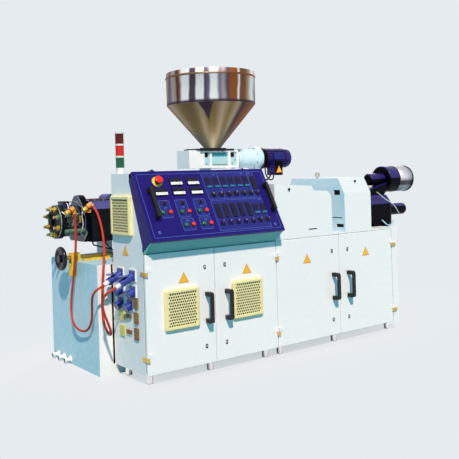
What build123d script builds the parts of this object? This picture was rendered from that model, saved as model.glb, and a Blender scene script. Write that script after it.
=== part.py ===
"""Conical twin-screw plastic extruder, about 3.2 m long, in millimetres.

The frame's origin is on the floor below the crossing of the barrel's axis and
the hopper's axis. +X runs from the barrel's open end to the main motor, +Y runs
from the doors to the back, and +Z is up.
"""
from build123d import *
from math import atan2, cos, radians, sin, tan
import os

os.makedirs("parts", exist_ok=True)

# Gaps
moving_gap = 5
seat_gap = 0.3
door_gap = 3

# Heights above the floor, which follow the barrel's axis
floor_clearance = 70
barrel_height = 1020
base_top = barrel_height - 280
door_top = barrel_height - 189
deck_bottom = door_top + moving_gap
deck_thickness = 8
deck_top = deck_bottom + deck_thickness
cabinet_rise = 499
cabinet_top_z = deck_top + cabinet_rise

# Positions along the machine
cabinet_left = -1158
seam_12 = -624
cabinet_right = -80
seam_34 = 556
door_4_right = 1169
base_right = 1239
base_left = -1273

# Positions across the machine
door_plane = -858
cabinet_back = -440
base_front = -425
base_back = 342
drive_y = -526

# Sheet metal
sheet = 3
floor_plate = 8
door_thickness = 22
door_sheet = 2
door_edge_r = 4
frame_front = door_plane + door_thickness + moving_gap

# Hinges of the doors
hinge_pin_r = 3
hinge_bore_r = 3.3
hinge_knuckle_r = 6
hinge_half = 27
hinge_heights = (floor_clearance + 115, door_top - 111)
hinge_leaf_width = 36
hinge_leaf_thickness = 2.5
hinge_out = 8
hinge_inset = 9
hinge_arm = 3
hinge_wrap = 30

# Bow handles of the doors
handle_reach = 55
handle_length = 205
handle_bar = 26
handle_grip = 14
handle_corner_r = 20
handle_foot = 28
handle_foot_z = 342


def keep(part, name):
    """Label a finished piece and write it."""
    part.label = name
    export_step(part, f"parts/{name}.step")


def block(x_range, y_range, z_range):
    """A rectangular plate or post between two corners."""
    with BuildPart() as piece:
        with BuildSketch(Plane.XY.offset(z_range[0])):
            with Locations(((x_range[0] + x_range[1]) / 2, (y_range[0] + y_range[1]) / 2)):
                Rectangle(x_range[1] - x_range[0], y_range[1] - y_range[0])
        extrude(amount=z_range[1] - z_range[0])
    return piece.part


def cylinder_x(y, z, radius, x_start, x_end):
    """A round bar or drum whose axis runs along X."""
    with BuildPart() as piece:
        with BuildSketch(Plane((x_start, y, z), x_dir=(0, 1, 0), z_dir=(1, 0, 0))):
            Circle(radius)
        extrude(amount=x_end - x_start)
    return piece.part


def cross_plane(x):
    """A sketch plane across the machine, whose X is the machine's Y and whose Y is up."""
    return Plane((x, 0, 0), x_dir=(0, 1, 0), z_dir=(1, 0, 0))


# Feet
foot_radius = 22
foot_inset = 60
with BuildPart() as levelling_feet:
    with BuildSketch(Plane.XY):
        for foot_x in (cabinet_left + foot_inset, seam_12, cabinet_right - foot_inset):
            for foot_y in (frame_front + foot_inset, cabinet_back - foot_inset):
                with Locations((foot_x, foot_y)):
                    Circle(foot_radius)
        for foot_x in (0, seam_34, base_right - foot_inset):
            for foot_y in (frame_front + foot_inset, 0, base_back - foot_inset):
                with Locations((foot_x, foot_y)):
                    Circle(foot_radius)
    extrude(amount=floor_clearance)
keep(levelling_feet.part, "levelling_feet")

# Left base frame below the barrel: a closed welded box that stands on the floor
base_corner_r = 6
with BuildPart() as left_base:
    with BuildSketch(Plane.XY):
        with Locations(((base_left + cabinet_right) / 2, (base_front + base_back) / 2)):
            Rectangle(cabinet_right - base_left, base_back - base_front)
    extrude(amount=base_top)
    fillet(left_base.edges().filter_by(Axis.Z).group_by(Axis.X)[0], base_corner_r)
keep(left_base.part, "left_base")

# Cabinet panels
panel_floor = floor_clearance + floor_plate
with BuildPart() as cabinet_floors:
    add(block((cabinet_left + sheet, cabinet_right - sheet), (frame_front, cabinet_back - sheet),
              (floor_clearance, panel_floor)))
    add(block((cabinet_right, base_right - sheet), (frame_front, base_back - sheet),
              (floor_clearance, panel_floor)))
keep(cabinet_floors.part, "cabinet_floors")

cabinet_top_front = -680
console_foot_z = deck_top + 44
console_back_z = cabinet_top_z - 45


def cabinet_side(x, back):
    """A side panel whose front edge leans back beside the console."""
    with BuildPart() as panel:
        with BuildSketch(cross_plane(x)):
            with BuildLine():
                Polyline((frame_front, floor_clearance), (back, floor_clearance), (back, cabinet_top_z),
                         (cabinet_top_front, cabinet_top_z), (cabinet_top_front, console_back_z),
                         (frame_front, console_foot_z), close=True)
            make_face()
        extrude(amount=sheet)
    return panel.part


with BuildPart() as cabinet_sides:
    add(cabinet_side(cabinet_left, cabinet_back))
    add(cabinet_side(cabinet_right - sheet, cabinet_back - sheet))
    add(block((base_right - sheet, base_right), (frame_front, base_back), (floor_clearance, deck_bottom)))
keep(cabinet_sides.part, "cabinet_sides")

with BuildPart() as cabinet_backs:
    add(block((cabinet_left + sheet, cabinet_right - sheet), (cabinet_back - sheet, cabinet_back),
              (floor_clearance, cabinet_top_z - sheet)))
    add(block((cabinet_right, base_right - sheet), (base_back - sheet, base_back),
              (floor_clearance, deck_bottom)))
keep(cabinet_backs.part, "cabinet_backs")

with BuildPart() as cabinet_top:
    add(block((cabinet_left + sheet, cabinet_right - sheet), (cabinet_top_front, cabinet_back),
              (cabinet_top_z - sheet, cabinet_top_z)))
keep(cabinet_top.part, "cabinet_top")

post_width = 34
post_depth = 40
end_post_width = 70
with BuildPart() as door_posts:
    for post_x in (seam_12, seam_34):
        add(block((post_x - post_width / 2, post_x + post_width / 2), (frame_front, frame_front + post_depth),
                  (panel_floor, deck_bottom)))
    add(block((base_right - sheet - end_post_width, base_right - sheet),
              (frame_front, frame_front + post_depth), (panel_floor, deck_bottom)))
keep(door_posts.part, "door_posts")

# Deck that carries the gearbox and the motor
with BuildPart() as deck:
    add(block((cabinet_right, base_right), (door_plane, base_back), (deck_bottom, deck_top)))
keep(deck.part, "deck")

corner_post_left = door_4_right - door_gap + moving_gap
with BuildPart() as corner_post:
    add(block((corner_post_left, base_right), (door_plane, frame_front), (floor_clearance, deck_bottom)))
keep(corner_post.part, "corner_post")


# Doors: folded pans with a handle each
def door(x_left, x_right, hinge_side):
    """A door pan between two seams, with two knuckled hinge leaves."""
    left = x_left + door_gap
    right = x_right - door_gap
    hinge_x = x_left + hinge_inset if hinge_side < 0 else x_right - hinge_inset
    leaf_end = hinge_x - hinge_side * hinge_leaf_width
    with BuildPart() as pan:
        with BuildSketch(Plane.XZ.offset(-door_plane)):
            with Locations(((left + right) / 2, (floor_clearance + door_top) / 2)):
                Rectangle(right - left, door_top - floor_clearance)
        extrude(amount=-door_thickness)
        fillet(pan.faces().sort_by(Axis.Y)[0].edges(), door_edge_r)
        offset(amount=-door_sheet, openings=pan.faces().sort_by(Axis.Y)[-1])
        for height in hinge_heights:
            with BuildSketch(Plane.XY.offset(height)):
                with Locations((hinge_x, door_plane - hinge_out)):
                    Circle(hinge_knuckle_r)
                with Locations(((hinge_x + leaf_end) / 2, door_plane - hinge_leaf_thickness / 2)):
                    Rectangle(abs(leaf_end - hinge_x), hinge_leaf_thickness)
                with Locations((hinge_x - hinge_side * hinge_knuckle_r / 2, door_plane - hinge_out / 2)):
                    Rectangle(hinge_knuckle_r, hinge_out)
            extrude(amount=hinge_half)
            with BuildSketch(Plane.XY.offset(height)):
                with Locations((hinge_x, door_plane - hinge_out)):
                    Circle(hinge_bore_r)
            extrude(amount=hinge_half, mode=Mode.SUBTRACT)
    return pan.part


def bow_handle(x):
    """A bow handle with rounded ends on a door's face."""
    with BuildPart() as bow:
        with BuildSketch(Plane((x, door_plane, handle_foot_z), x_dir=(0, -1, 0), z_dir=(-1, 0, 0))
                         .offset(-handle_bar / 2)):
            with Locations((handle_reach / 2, handle_length / 2)):
                RectangleRounded(handle_reach + 2 * handle_grip, handle_length, handle_corner_r)
            with Locations((handle_reach / 2 - handle_grip, handle_length / 2)):
                RectangleRounded(handle_reach + 2 * handle_grip, handle_length - 2 * handle_foot,
                                 handle_corner_r / 2, mode=Mode.SUBTRACT)
            with Locations((-handle_reach / 2, handle_length / 2)):
                Rectangle(handle_reach, handle_length, mode=Mode.SUBTRACT)
        extrude(amount=handle_bar)
    return bow.part


door_spans = {
    "door_1": (cabinet_left, seam_12, -1),
    "door_2": (seam_12, cabinet_right, 1),
    "door_3": (cabinet_right, seam_34, -1),
    "door_4": (seam_34, door_4_right, 1),
}
for door_name, (door_left, door_right, side) in door_spans.items():
    keep(door(door_left, door_right, side), door_name)

handle_from_seam_left = 72
handle_from_seam_right = 90
handle_places = {
    "door_handle_1": seam_12 - handle_from_seam_left,
    "door_handle_2": seam_12 + handle_from_seam_right,
    "door_handle_3": seam_34 - handle_from_seam_left,
    "door_handle_4": seam_34 + handle_from_seam_right,
}
for handle_name, handle_x in handle_places.items():
    keep(bow_handle(handle_x), handle_name)

# Fixed hinge halves with their pins: an arm runs back beside the door to its post
pin_y = door_plane - hinge_out
knuckle_flat = hinge_knuckle_r
with BuildPart() as door_hinges:
    for height in hinge_heights:
        lower_half = (height - hinge_half, height - seat_gap)
        for pin_x, wall_x in ((cabinet_left + hinge_inset, cabinet_left - hinge_arm / 2),
                              (cabinet_right - hinge_inset, cabinet_right),
                              (cabinet_right + hinge_inset, cabinet_right),
                              (door_4_right - hinge_inset, door_4_right + hinge_arm / 2)):
            with BuildSketch(Plane.XY.offset(height - hinge_half)):
                with Locations((pin_x, pin_y)):
                    Circle(hinge_knuckle_r)
                with Locations(((pin_x + wall_x) / 2, pin_y)):
                    Rectangle(abs(wall_x - pin_x), knuckle_flat)
            extrude(amount=hinge_half - seat_gap)
            with BuildSketch(Plane.XY.offset(height - hinge_half)):
                with Locations((pin_x, pin_y)):
                    Circle(hinge_pin_r)
            extrude(amount=2 * hinge_half)
        add(block((cabinet_left - hinge_arm, cabinet_left),
                  (pin_y - knuckle_flat / 2, frame_front + hinge_wrap), lower_half))
        add(block((cabinet_right - hinge_arm / 2, cabinet_right + hinge_arm / 2),
                  (pin_y - knuckle_flat / 2, frame_front), lower_half))
        add(block((door_4_right, door_4_right + hinge_leaf_width),
                  (pin_y - knuckle_flat / 2, door_plane), lower_half))
keep(door_hinges.part, "door_hinges")

# Filter grilles on the doors and the side panel
grille_size = 262
grille_depth = 26
grille_edge = 8
grille_corner_r = 14
grille_rim = 22
grille_sink = 5


def grille(plane):
    """A square filter cover with a chamfered rim and a sunk face."""
    with BuildPart() as cover:
        with BuildSketch(plane):
            RectangleRounded(grille_size, grille_size, grille_corner_r)
        extrude(amount=grille_depth)
        outer_face = cover.faces().sort_by(Axis(plane.origin, plane.z_dir))[-1]
        chamfer(outer_face.edges(), grille_edge)
        with BuildSketch(plane.offset(grille_depth)):
            Rectangle(grille_size - 2 * grille_rim, grille_size - 2 * grille_rim)
        extrude(amount=-grille_sink, mode=Mode.SUBTRACT)
    return cover.part


door_grille_z = 463
side_grille_from_front = 268
side_grille_drop = 274
side_grille_y = door_plane + side_grille_from_front
side_grille_z = cabinet_top_z - side_grille_drop
grille_from_edge = 260
grille_1_x = cabinet_left + grille_from_edge
grille_2_x = cabinet_right - grille_from_edge - 20
keep(grille(Plane((grille_1_x, door_plane, door_grille_z), x_dir=(1, 0, 0), z_dir=(0, -1, 0))),
     "door_grille_1")
keep(grille(Plane((grille_2_x, door_plane, door_grille_z), x_dir=(1, 0, 0), z_dir=(0, -1, 0))),
     "door_grille_2")
keep(grille(Plane((cabinet_left, side_grille_y, side_grille_z), x_dir=(0, 1, 0), z_dir=(-1, 0, 0))),
     "side_grille")

# Console: blue sides and underside, and a lid hinged at its top edge
console_overhang = 105
console_front = door_plane - console_overhang
console_low = deck_top + 73
lid_top_y = cabinet_top_front - 41
lid_top_z = cabinet_top_z + 10
lid_thickness = 22
lid_length = ((lid_top_y - console_front) ** 2 + (lid_top_z - console_low) ** 2) ** 0.5
lid_slope = atan2(lid_top_z - console_low, lid_top_y - console_front)
slope_y = cos(lid_slope)
slope_z = sin(lid_slope)
lid_plane = Plane((cabinet_left, console_front, console_low), x_dir=(1, 0, 0),
                  z_dir=(0, -slope_z, slope_y))
lid_width = cabinet_right - cabinet_left


def slope_point(along, below):
    """The (y, z) of a point on the lid's slope, some way below its face."""
    return (console_front + along * slope_y + below * slope_z,
            console_low + along * slope_z - below * slope_y)


rim_gap = 2
rim_depth = lid_thickness + rim_gap
rim_low = 12
rim_high = 30
with BuildPart() as console_sides:
    for side_x in (cabinet_left, cabinet_right - sheet):
        with BuildSketch(cross_plane(side_x)):
            with BuildLine():
                Polyline(slope_point(rim_low, rim_depth), slope_point(lid_length - rim_high, rim_depth),
                         (cabinet_top_front, console_back_z), (frame_front, console_foot_z),
                         (frame_front, deck_top), close=True)
            make_face()
        extrude(amount=sheet)
keep(console_sides.part, "console_sides")

underside_reach = 60
underside_sheet = 4
with BuildPart() as console_underside:
    with BuildSketch(cross_plane(cabinet_left + sheet)):
        with BuildLine():
            Polyline((door_plane, deck_bottom), (frame_front + underside_reach, deck_bottom),
                     (frame_front + underside_reach, deck_bottom + underside_sheet),
                     (frame_front - rim_gap, deck_bottom + underside_sheet),
                     slope_point(rim_low, rim_depth), slope_point(rim_gap, rim_depth), close=True)
        make_face()
    extrude(amount=lid_width - 2 * sheet)
keep(console_underside.part, "console_underside")

hinge_axis_y = cabinet_top_front - 10
hinge_axis_z = cabinet_top_z + 13
lug_r = 9
lug_width = 14
lug_inset = 160
bracket_r = 7
bracket_width = 7
bracket_back = 40
lid_pin_r = 4
lid_bore_r = 4.3
lug_places = (cabinet_left + lug_inset, cabinet_right - lug_inset)
with BuildPart() as console_lid:
    with BuildSketch(lid_plane):
        with Locations((lid_width / 2, lid_length / 2)):
            Rectangle(lid_width, lid_length)
    extrude(amount=-lid_thickness)
    for lug_x in lug_places:
        with BuildSketch(cross_plane(lug_x)):
            with BuildLine():
                Polyline((hinge_axis_y, hinge_axis_z + lug_r), slope_point(lid_length - 1, 0),
                         slope_point(lid_length - 1, lid_thickness), (hinge_axis_y, hinge_axis_z - lug_r),
                         close=True)
            make_face()
            with Locations((hinge_axis_y, hinge_axis_z)):
                Circle(lug_r)
                Circle(lid_bore_r, mode=Mode.SUBTRACT)
        extrude(amount=lug_width)
keep(console_lid.part, "console_lid")

with BuildPart() as lid_hinges:
    for lug_x in lug_places:
        bracket_x = lug_x - bracket_width - 1
        with BuildSketch(cross_plane(bracket_x)):
            with BuildLine():
                Polyline((hinge_axis_y, hinge_axis_z + bracket_r),
                         (cabinet_top_front + bracket_back, cabinet_top_z + bracket_r),
                         (cabinet_top_front + bracket_back, cabinet_top_z), (cabinet_top_front, cabinet_top_z),
                         (hinge_axis_y, hinge_axis_z - bracket_r), close=True)
            make_face()
            with Locations((hinge_axis_y, hinge_axis_z)):
                Circle(bracket_r)
        extrude(amount=bracket_width)
        add(cylinder_x(hinge_axis_y, hinge_axis_z, lid_pin_r, bracket_x, lug_x + lug_width + sheet))
keep(lid_hinges.part, "lid_hinges")

# Instruments on the lid, as (along, up the slope) in the lid's own plane
instrument_height = 6
column_pitch = 65
first_column = 562
tall_row = 181
controller_row = 398
meter_size = (92, 54)
tall_size = (38, 102)
controller_size = (46, 84)
meter_places = ((304, 412), (438, 411), (168, 340), (303, 340), (443, 339))
recorder_place = (952, 386)
with BuildPart() as console_instruments:
    with BuildSketch(lid_plane):
        with Locations(*meter_places):
            Rectangle(*meter_size)
        with Locations(recorder_place, *((first_column + column * column_pitch, tall_row)
                                         for column in range(5))):
            Rectangle(*tall_size)
        with Locations(*((first_column + column * column_pitch, controller_row) for column in range(6)),
                       *((first_column + column * column_pitch, tall_row) for column in (5, 6))):
            Rectangle(*controller_size)
    extrude(amount=instrument_height)
keep(console_instruments.part, "console_instruments")

# Buttons, selectors, knobs and the emergency stop
button_r = 15
button_height = 16
button_spread = 57
knob_r = 18
knob_height = 20
knob_row_high = 304
knob_row_low = 92
selector_row = 257
stop_place = (165, 418)
stop_plate_r = 36
stop_plate = 3
stop_neck_r = 18
stop_neck = 24
stop_r = 28
stop_height = 42
button_pairs = ((135, 193), (276, 191), (415, 191), (277, 97), (416, 97))
selector_columns = (163, 302, 442)
with BuildPart() as console_controls:
    with BuildSketch(lid_plane):
        for pair_u, pair_v in button_pairs:
            with Locations((pair_u, pair_v), (pair_u + button_spread, pair_v)):
                Circle(button_r)
        with Locations(*((selector_u, selector_row) for selector_u in selector_columns)):
            Circle(button_r)
    extrude(amount=button_height)
    with BuildSketch(lid_plane):
        for column in range(7):
            with Locations((first_column + column * column_pitch, knob_row_high),
                           (first_column + column * column_pitch, knob_row_low)):
                Circle(knob_r)
    extrude(amount=knob_height)
    for radius, low, high in ((stop_plate_r, 0, stop_plate), (stop_neck_r, 0, stop_neck),
                              (stop_r, stop_neck, stop_height)):
        with BuildSketch(lid_plane.offset(low)):
            with Locations(stop_place):
                Circle(radius)
        extrude(amount=high - low)
keep(console_controls.part, "console_controls")

# Two bow handles that lift the lid
lid_handle_low = 150
lid_handle_length = 214
lid_handle_reach = 46
lid_handle_grip = 16
lid_handle_foot = 28
lid_handle_bar = 26
lid_handle_places = (80, 1030)
with BuildPart() as console_handles:
    for handle_u in lid_handle_places:
        start = lid_plane.from_local_coords((handle_u, lid_handle_low, 0))
        with BuildSketch(Plane(start, x_dir=lid_plane.z_dir, z_dir=(1, 0, 0)).offset(-lid_handle_bar / 2)):
            with Locations((lid_handle_reach / 2, -lid_handle_length / 2)):
                Rectangle(lid_handle_reach, lid_handle_length)
            with Locations((lid_handle_reach / 2 - lid_handle_grip, -lid_handle_length / 2)):
                Rectangle(lid_handle_reach, lid_handle_length - 2 * lid_handle_foot, mode=Mode.SUBTRACT)
        extrude(amount=lid_handle_bar)
keep(console_handles.part, "console_handles")

# Gearbox hood and the gearbox behind it
hood_left = cabinet_right
hood_right = 492
hood_back = -150
hood_top_left = deck_top + 396
hood_top_right = deck_top + 371
hood_step_x = 305
hood_step = 16
hood_step_z = deck_top + 336
hood_fall = 8
hood_corner_r = 70
hood_slot = (288, deck_top + 49)
hood_slot_size = (83, 9)
pocket_depth = 6
with BuildPart() as gearbox_hood:
    with BuildSketch(Plane.XZ.offset(-door_plane)):
        with BuildLine():
            Polyline((hood_left, deck_top), (hood_left, hood_top_left),
                     (hood_step_x - hood_step, hood_top_right), (hood_step_x, hood_step_z),
                     (hood_right, hood_step_z - hood_fall), (hood_right, deck_top), close=True)
        make_face()
    extrude(amount=-(hood_back - door_plane))
    corner = gearbox_hood.edges().filter_by(Axis.Y).group_by(Axis.X)[-1].sort_by(Axis.Z)[-1]
    fillet(corner, hood_corner_r)
    with BuildSketch(Plane.XZ.offset(-door_plane)):
        with Locations(hood_slot):
            Rectangle(*hood_slot_size)
    extrude(amount=-pocket_depth, mode=Mode.SUBTRACT)
keep(gearbox_hood.part, "gearbox_hood")

case_left = 230
case_gap = 2
case_inset = 20
case_back = 300
case_top = hood_top_right - 30
case_edge_r = 18
with BuildPart() as gearbox_case:
    add(block((case_left, hood_right - case_inset), (hood_back + case_gap, case_back), (deck_top, case_top)))
    fillet(gearbox_case.edges().filter_by(Axis.X).group_by(Axis.Z)[-1], case_edge_r)
keep(gearbox_case.part, "gearbox_case")

# Coupling guard with the openings that are cut into its left face
guard_left = 632
guard_right = 932
guard_back = 2 * drive_y - door_plane
guard_knee = deck_top + 300
guard_top = deck_top + 422
guard_lean = 67
guard_window = (door_plane + 80, deck_top + 308)
guard_window_size = (69, 40)
guard_slit = (door_plane + 85, deck_top + 110)
guard_slit_size = (109, 8)
guard_vent = (door_plane + 55, deck_top + 49)
guard_vent_size = (78, 26)
shaft_z = deck_top + 120
with BuildPart() as coupling_guard:
    with BuildSketch(cross_plane(guard_left)):
        with BuildLine():
            Polyline((door_plane, deck_top), (door_plane, guard_knee), (door_plane + guard_lean, guard_top),
                     (guard_back - guard_lean, guard_top), (guard_back, guard_knee), (guard_back, deck_top),
                     close=True)
        make_face()
    extrude(amount=guard_right - guard_left)
    with BuildSketch(cross_plane(guard_left)):
        with Locations(guard_window):
            Rectangle(*guard_window_size)
        with Locations(guard_slit):
            Rectangle(*guard_slit_size)
        with Locations(guard_vent):
            Rectangle(*guard_vent_size)
    extrude(amount=pocket_depth, mode=Mode.SUBTRACT)
keep(coupling_guard.part, "coupling_guard")

shaft_r = 38
with BuildPart() as drive_shaft:
    add(cylinder_x(drive_y, shaft_z, shaft_r, hood_right, guard_left))
keep(drive_shaft.part, "drive_shaft")

eye_r = 22
eye_hole_r = 12
eye_thickness = 14
eye_foot = (20, 10)
eye_x = guard_left + 40
with BuildPart() as lifting_eye:
    with BuildSketch(Plane.XZ.offset(-drive_y + eye_thickness / 2)):
        with Locations((eye_x, guard_top + eye_foot[1] / 2)):
            Rectangle(*eye_foot)
        with Locations((eye_x, guard_top + eye_r + eye_foot[1] / 2)):
            Circle(eye_r)
            Circle(eye_hole_r, mode=Mode.SUBTRACT)
    extrude(amount=-eye_thickness)
keep(lifting_eye.part, "lifting_eye")

# Main motor with its feet: a ledge runs along each side below the sloped shoulders
motor_left = 962
motor_right = 1400
motor_half = 166
motor_bottom = deck_top
motor_ledge_z = deck_top + 187
motor_ledge = 12
motor_top = deck_top + 260
motor_top_half = 92
motor_corner = 34
motor_end_r = 40
motor_nose_r = 60
foot_width = 90
foot_depth = 40
foot_height = 57
foot_bracket = (1272, 1328)
foot_bracket_front = drive_y - motor_half - 8
foot_bracket_bottom = deck_top - 21
with BuildPart() as main_motor:
    with BuildSketch(Plane((motor_left, drive_y, 0), x_dir=(0, 1, 0), z_dir=(1, 0, 0))):
        with BuildLine():
            Polyline((0, motor_bottom), (-motor_half + motor_corner, motor_bottom),
                     (-motor_half, motor_bottom + motor_corner), (-motor_half, motor_ledge_z),
                     (-motor_half + motor_ledge, motor_ledge_z), (-motor_top_half, motor_top), (0, motor_top))
            mirror(about=Plane.YZ)
        make_face()
    extrude(amount=motor_right - motor_left)
    fillet(main_motor.faces().sort_by(Axis.X)[-1].edges().filter_by(Axis.Z), motor_end_r)
    for foot_x in (motor_left + foot_width / 2, base_right - foot_width / 2):
        for foot_y in (drive_y - motor_half + foot_depth / 2, drive_y + motor_half - foot_depth / 2):
            add(block((foot_x - foot_width / 2, foot_x + foot_width / 2),
                      (foot_y - foot_depth / 2, foot_y + foot_depth / 2), (deck_top, deck_top + foot_height)))
    add(block(foot_bracket, (foot_bracket_front, foot_bracket_front + foot_depth),
              (foot_bracket_bottom, deck_top + foot_height)))
    add(cylinder_x(drive_y, shaft_z, motor_nose_r, guard_right, motor_left))
keep(main_motor.part, "main_motor")

tacho_r = 51
tacho_z = shaft_z + 4
tacho_right = 1732
tacho_end_r = 24
with BuildPart() as tacho_generator:
    add(cylinder_x(drive_y, tacho_z, tacho_r, motor_right, tacho_right))
    fillet(tacho_generator.edges().filter_by(GeomType.CIRCLE).group_by(Axis.X)[-1], tacho_end_r)
keep(tacho_generator.part, "tacho_generator")

# Blower on top of the main motor: its own motor, the volute, and the duct down into the main motor
blower_z = motor_top + 134
blower_motor_left = 1270
blower_motor_r = 52
blower_motor_end_r = 14
volute_left = 1446
volute_right = 1567
volute_r = 114
volute_edge_r = 8
duct_left = 1225
duct_front = drive_y - 80
duct_back = drive_y + 80
duct_low_z = motor_top + 46
duct_high_z = motor_top + 102
filter_r = 116
filter_end = 1760
filter_edge = 12
with BuildPart() as motor_blower:
    add(cylinder_x(drive_y, blower_z, volute_r, volute_left, volute_right))
    fillet(motor_blower.edges().filter_by(GeomType.CIRCLE).group_by(Axis.X)[0], volute_edge_r)
    add(cylinder_x(drive_y, blower_z, blower_motor_r, blower_motor_left, volute_left + volute_edge_r))
    fillet(motor_blower.edges().filter_by(GeomType.CIRCLE).group_by(Axis.X)[0], blower_motor_end_r)
    with BuildSketch(Plane.XZ.offset(-duct_front)):
        with BuildLine():
            Polyline((duct_left, motor_top), (duct_left, duct_low_z), (volute_left, duct_high_z),
                     (volute_left + 40, duct_high_z), (motor_right - 10, motor_top), close=True)
        make_face()
    extrude(amount=-(duct_back - duct_front))
keep(motor_blower.part, "motor_blower")

with BuildPart() as blower_filter:
    add(cylinder_x(drive_y, blower_z, filter_r, volute_right, filter_end))
    chamfer(blower_filter.edges().filter_by(GeomType.CIRCLE).group_by(Axis.X)[-1], filter_edge)
keep(blower_filter.part, "blower_filter")

# Barrel: the shroud over its heated length has a raised box on its top
head_left = -1380
collar_left = head_left + 166
collar_right = head_left + 215
shroud_left = collar_right
shroud_right = case_left
shroud_half = 145
shroud_crown_half = 85
shroud_top = barrel_height + 141
shroud_bottom = barrel_height - 150
shroud_shoulder = barrel_height + 81
raised_left = shroud_left + 94
raised_right = -180
raised_half = 62
raised_top = barrel_height + 181
with BuildPart() as barrel_shroud:
    with BuildSketch(cross_plane(shroud_left)):
        with BuildLine():
            Polyline((-shroud_half, shroud_bottom), (-shroud_half, shroud_shoulder),
                     (-shroud_crown_half, shroud_top), (shroud_crown_half, shroud_top),
                     (shroud_half, shroud_shoulder), (shroud_half, shroud_bottom), close=True)
        make_face()
    extrude(amount=shroud_right - shroud_left)
    add(block((raised_left, raised_right), (-raised_half, raised_half), (shroud_top, raised_top)))
keep(barrel_shroud.part, "barrel_shroud")

# Barrel head: a flange for the die, with the two bores that meet in a figure eight
flange_r = 119
flange_width = 40
adapter_r = 88
bore_r = 30
bore_spread = 24
bore_depth = 14
with BuildPart() as barrel_head:
    add(cylinder_x(0, barrel_height, flange_r, head_left, head_left + flange_width))
    add(cylinder_x(0, barrel_height, adapter_r, head_left + flange_width, collar_right))
    with BuildSketch(cross_plane(head_left)):
        with Locations((-bore_spread, barrel_height), (bore_spread, barrel_height)):
            Circle(bore_r)
    extrude(amount=bore_depth, mode=Mode.SUBTRACT)
keep(barrel_head.part, "barrel_head")

stud_r = 10
stud_length = 45
stud_pcd = 192
stud_count = 8
with BuildPart() as flange_studs:
    with BuildSketch(Plane((head_left, 0, barrel_height), x_dir=(0, 1, 0), z_dir=(-1, 0, 0))):
        with PolarLocations(stud_pcd / 2, stud_count, start_angle=180 / stud_count):
            Circle(stud_r)
    extrude(amount=stud_length)
keep(flange_studs.part, "flange_studs")

band_r = 108
band_left = head_left + 48
band_right = collar_left - 6
band_box_right = band_left + 44
band_box_half = 46
band_box_top = barrel_height + 143
with BuildPart() as heater_bands:
    add(cylinder_x(0, barrel_height, band_r, band_left, band_right))
    add(block((band_left, band_box_right), (-band_box_half, band_box_half),
              (barrel_height + adapter_r, band_box_top)))
    add(cylinder_x(0, barrel_height, adapter_r + seat_gap, band_left, band_right), mode=Mode.SUBTRACT)
keep(heater_bands.part, "heater_bands")

collar_half = 150
collar_crown_half = 78
collar_foot_half = 110
collar_top = barrel_height + 182
collar_shoulder = barrel_height + 84
collar_ankle = barrel_height - 110
collar_bottom = barrel_height - 147
with BuildPart() as barrel_collar:
    with BuildSketch(cross_plane(collar_left)):
        with BuildLine():
            Polyline((-collar_half, collar_ankle), (-collar_half, collar_shoulder),
                     (-collar_crown_half, collar_top), (collar_crown_half, collar_top),
                     (collar_half, collar_shoulder), (collar_half, collar_ankle),
                     (collar_foot_half, collar_bottom), (-collar_foot_half, collar_bottom), close=True)
        make_face()
        with Locations((0, barrel_height)):
            Circle(adapter_r + seat_gap, mode=Mode.SUBTRACT)
    extrude(amount=collar_right - collar_left)
keep(barrel_collar.part, "barrel_collar")

# Barrel supports on the left base, beside the screw
support_places = (-1000, -250)
support_width = 80
support_half = 45
with BuildPart() as barrel_supports:
    for support_x in support_places:
        add(block((support_x - support_width / 2, support_x + support_width / 2),
                  (-support_half, support_half), (base_top, shroud_bottom)))
keep(barrel_supports.part, "barrel_supports")

# Hopper: a spun stainless cone and drum with a rolled bead below its lip
hopper_wall = 2
hopper_r = 362
hopper_bottom_r = 60
hopper_rise = 510
hopper_bottom = barrel_height + hopper_rise
hopper_cone_height = 357
hopper_drum_height = 263
hopper_knee = hopper_bottom + hopper_cone_height
hopper_top = hopper_knee + hopper_drum_height
bead_z = hopper_top - 41
bead_r = 8
hopper_flange_r = 92
hopper_flange = 8
with BuildPart() as hopper:
    with BuildSketch(Plane.XZ):
        with BuildLine():
            Polyline((hopper_bottom_r, hopper_bottom), (hopper_r, hopper_knee), (hopper_r, hopper_top),
                     (hopper_r - hopper_wall, hopper_top), (hopper_r - hopper_wall, hopper_knee + 1),
                     (hopper_bottom_r - hopper_wall, hopper_bottom), close=True)
        make_face()
        with Locations((hopper_r, bead_z)):
            Circle(bead_r)
        with Locations(((hopper_bottom_r + hopper_flange_r) / 2, hopper_bottom + hopper_flange / 2)):
            Rectangle(hopper_flange_r - hopper_bottom_r, hopper_flange)
    revolve(axis=Axis.Z)
keep(hopper.part, "hopper")

# Slide gate between the hopper and the feeder
gate_left = -218
gate_right = 154
gate_half = 96
gate_rail_left = -190
gate_rail_right = 60
gate_rail = 12
feeder_top = hopper_bottom - 12
with BuildPart() as slide_gate:
    add(block((gate_left, gate_right), (-gate_half, gate_half), (feeder_top, hopper_bottom)))
    for rail_y in (-gate_half - gate_rail, gate_half):
        add(block((gate_rail_left, gate_rail_right), (rail_y, rail_y + gate_rail),
                  (feeder_top - gate_rail / 2, hopper_bottom + gate_rail / 2)))
keep(slide_gate.part, "slide_gate")

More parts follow.
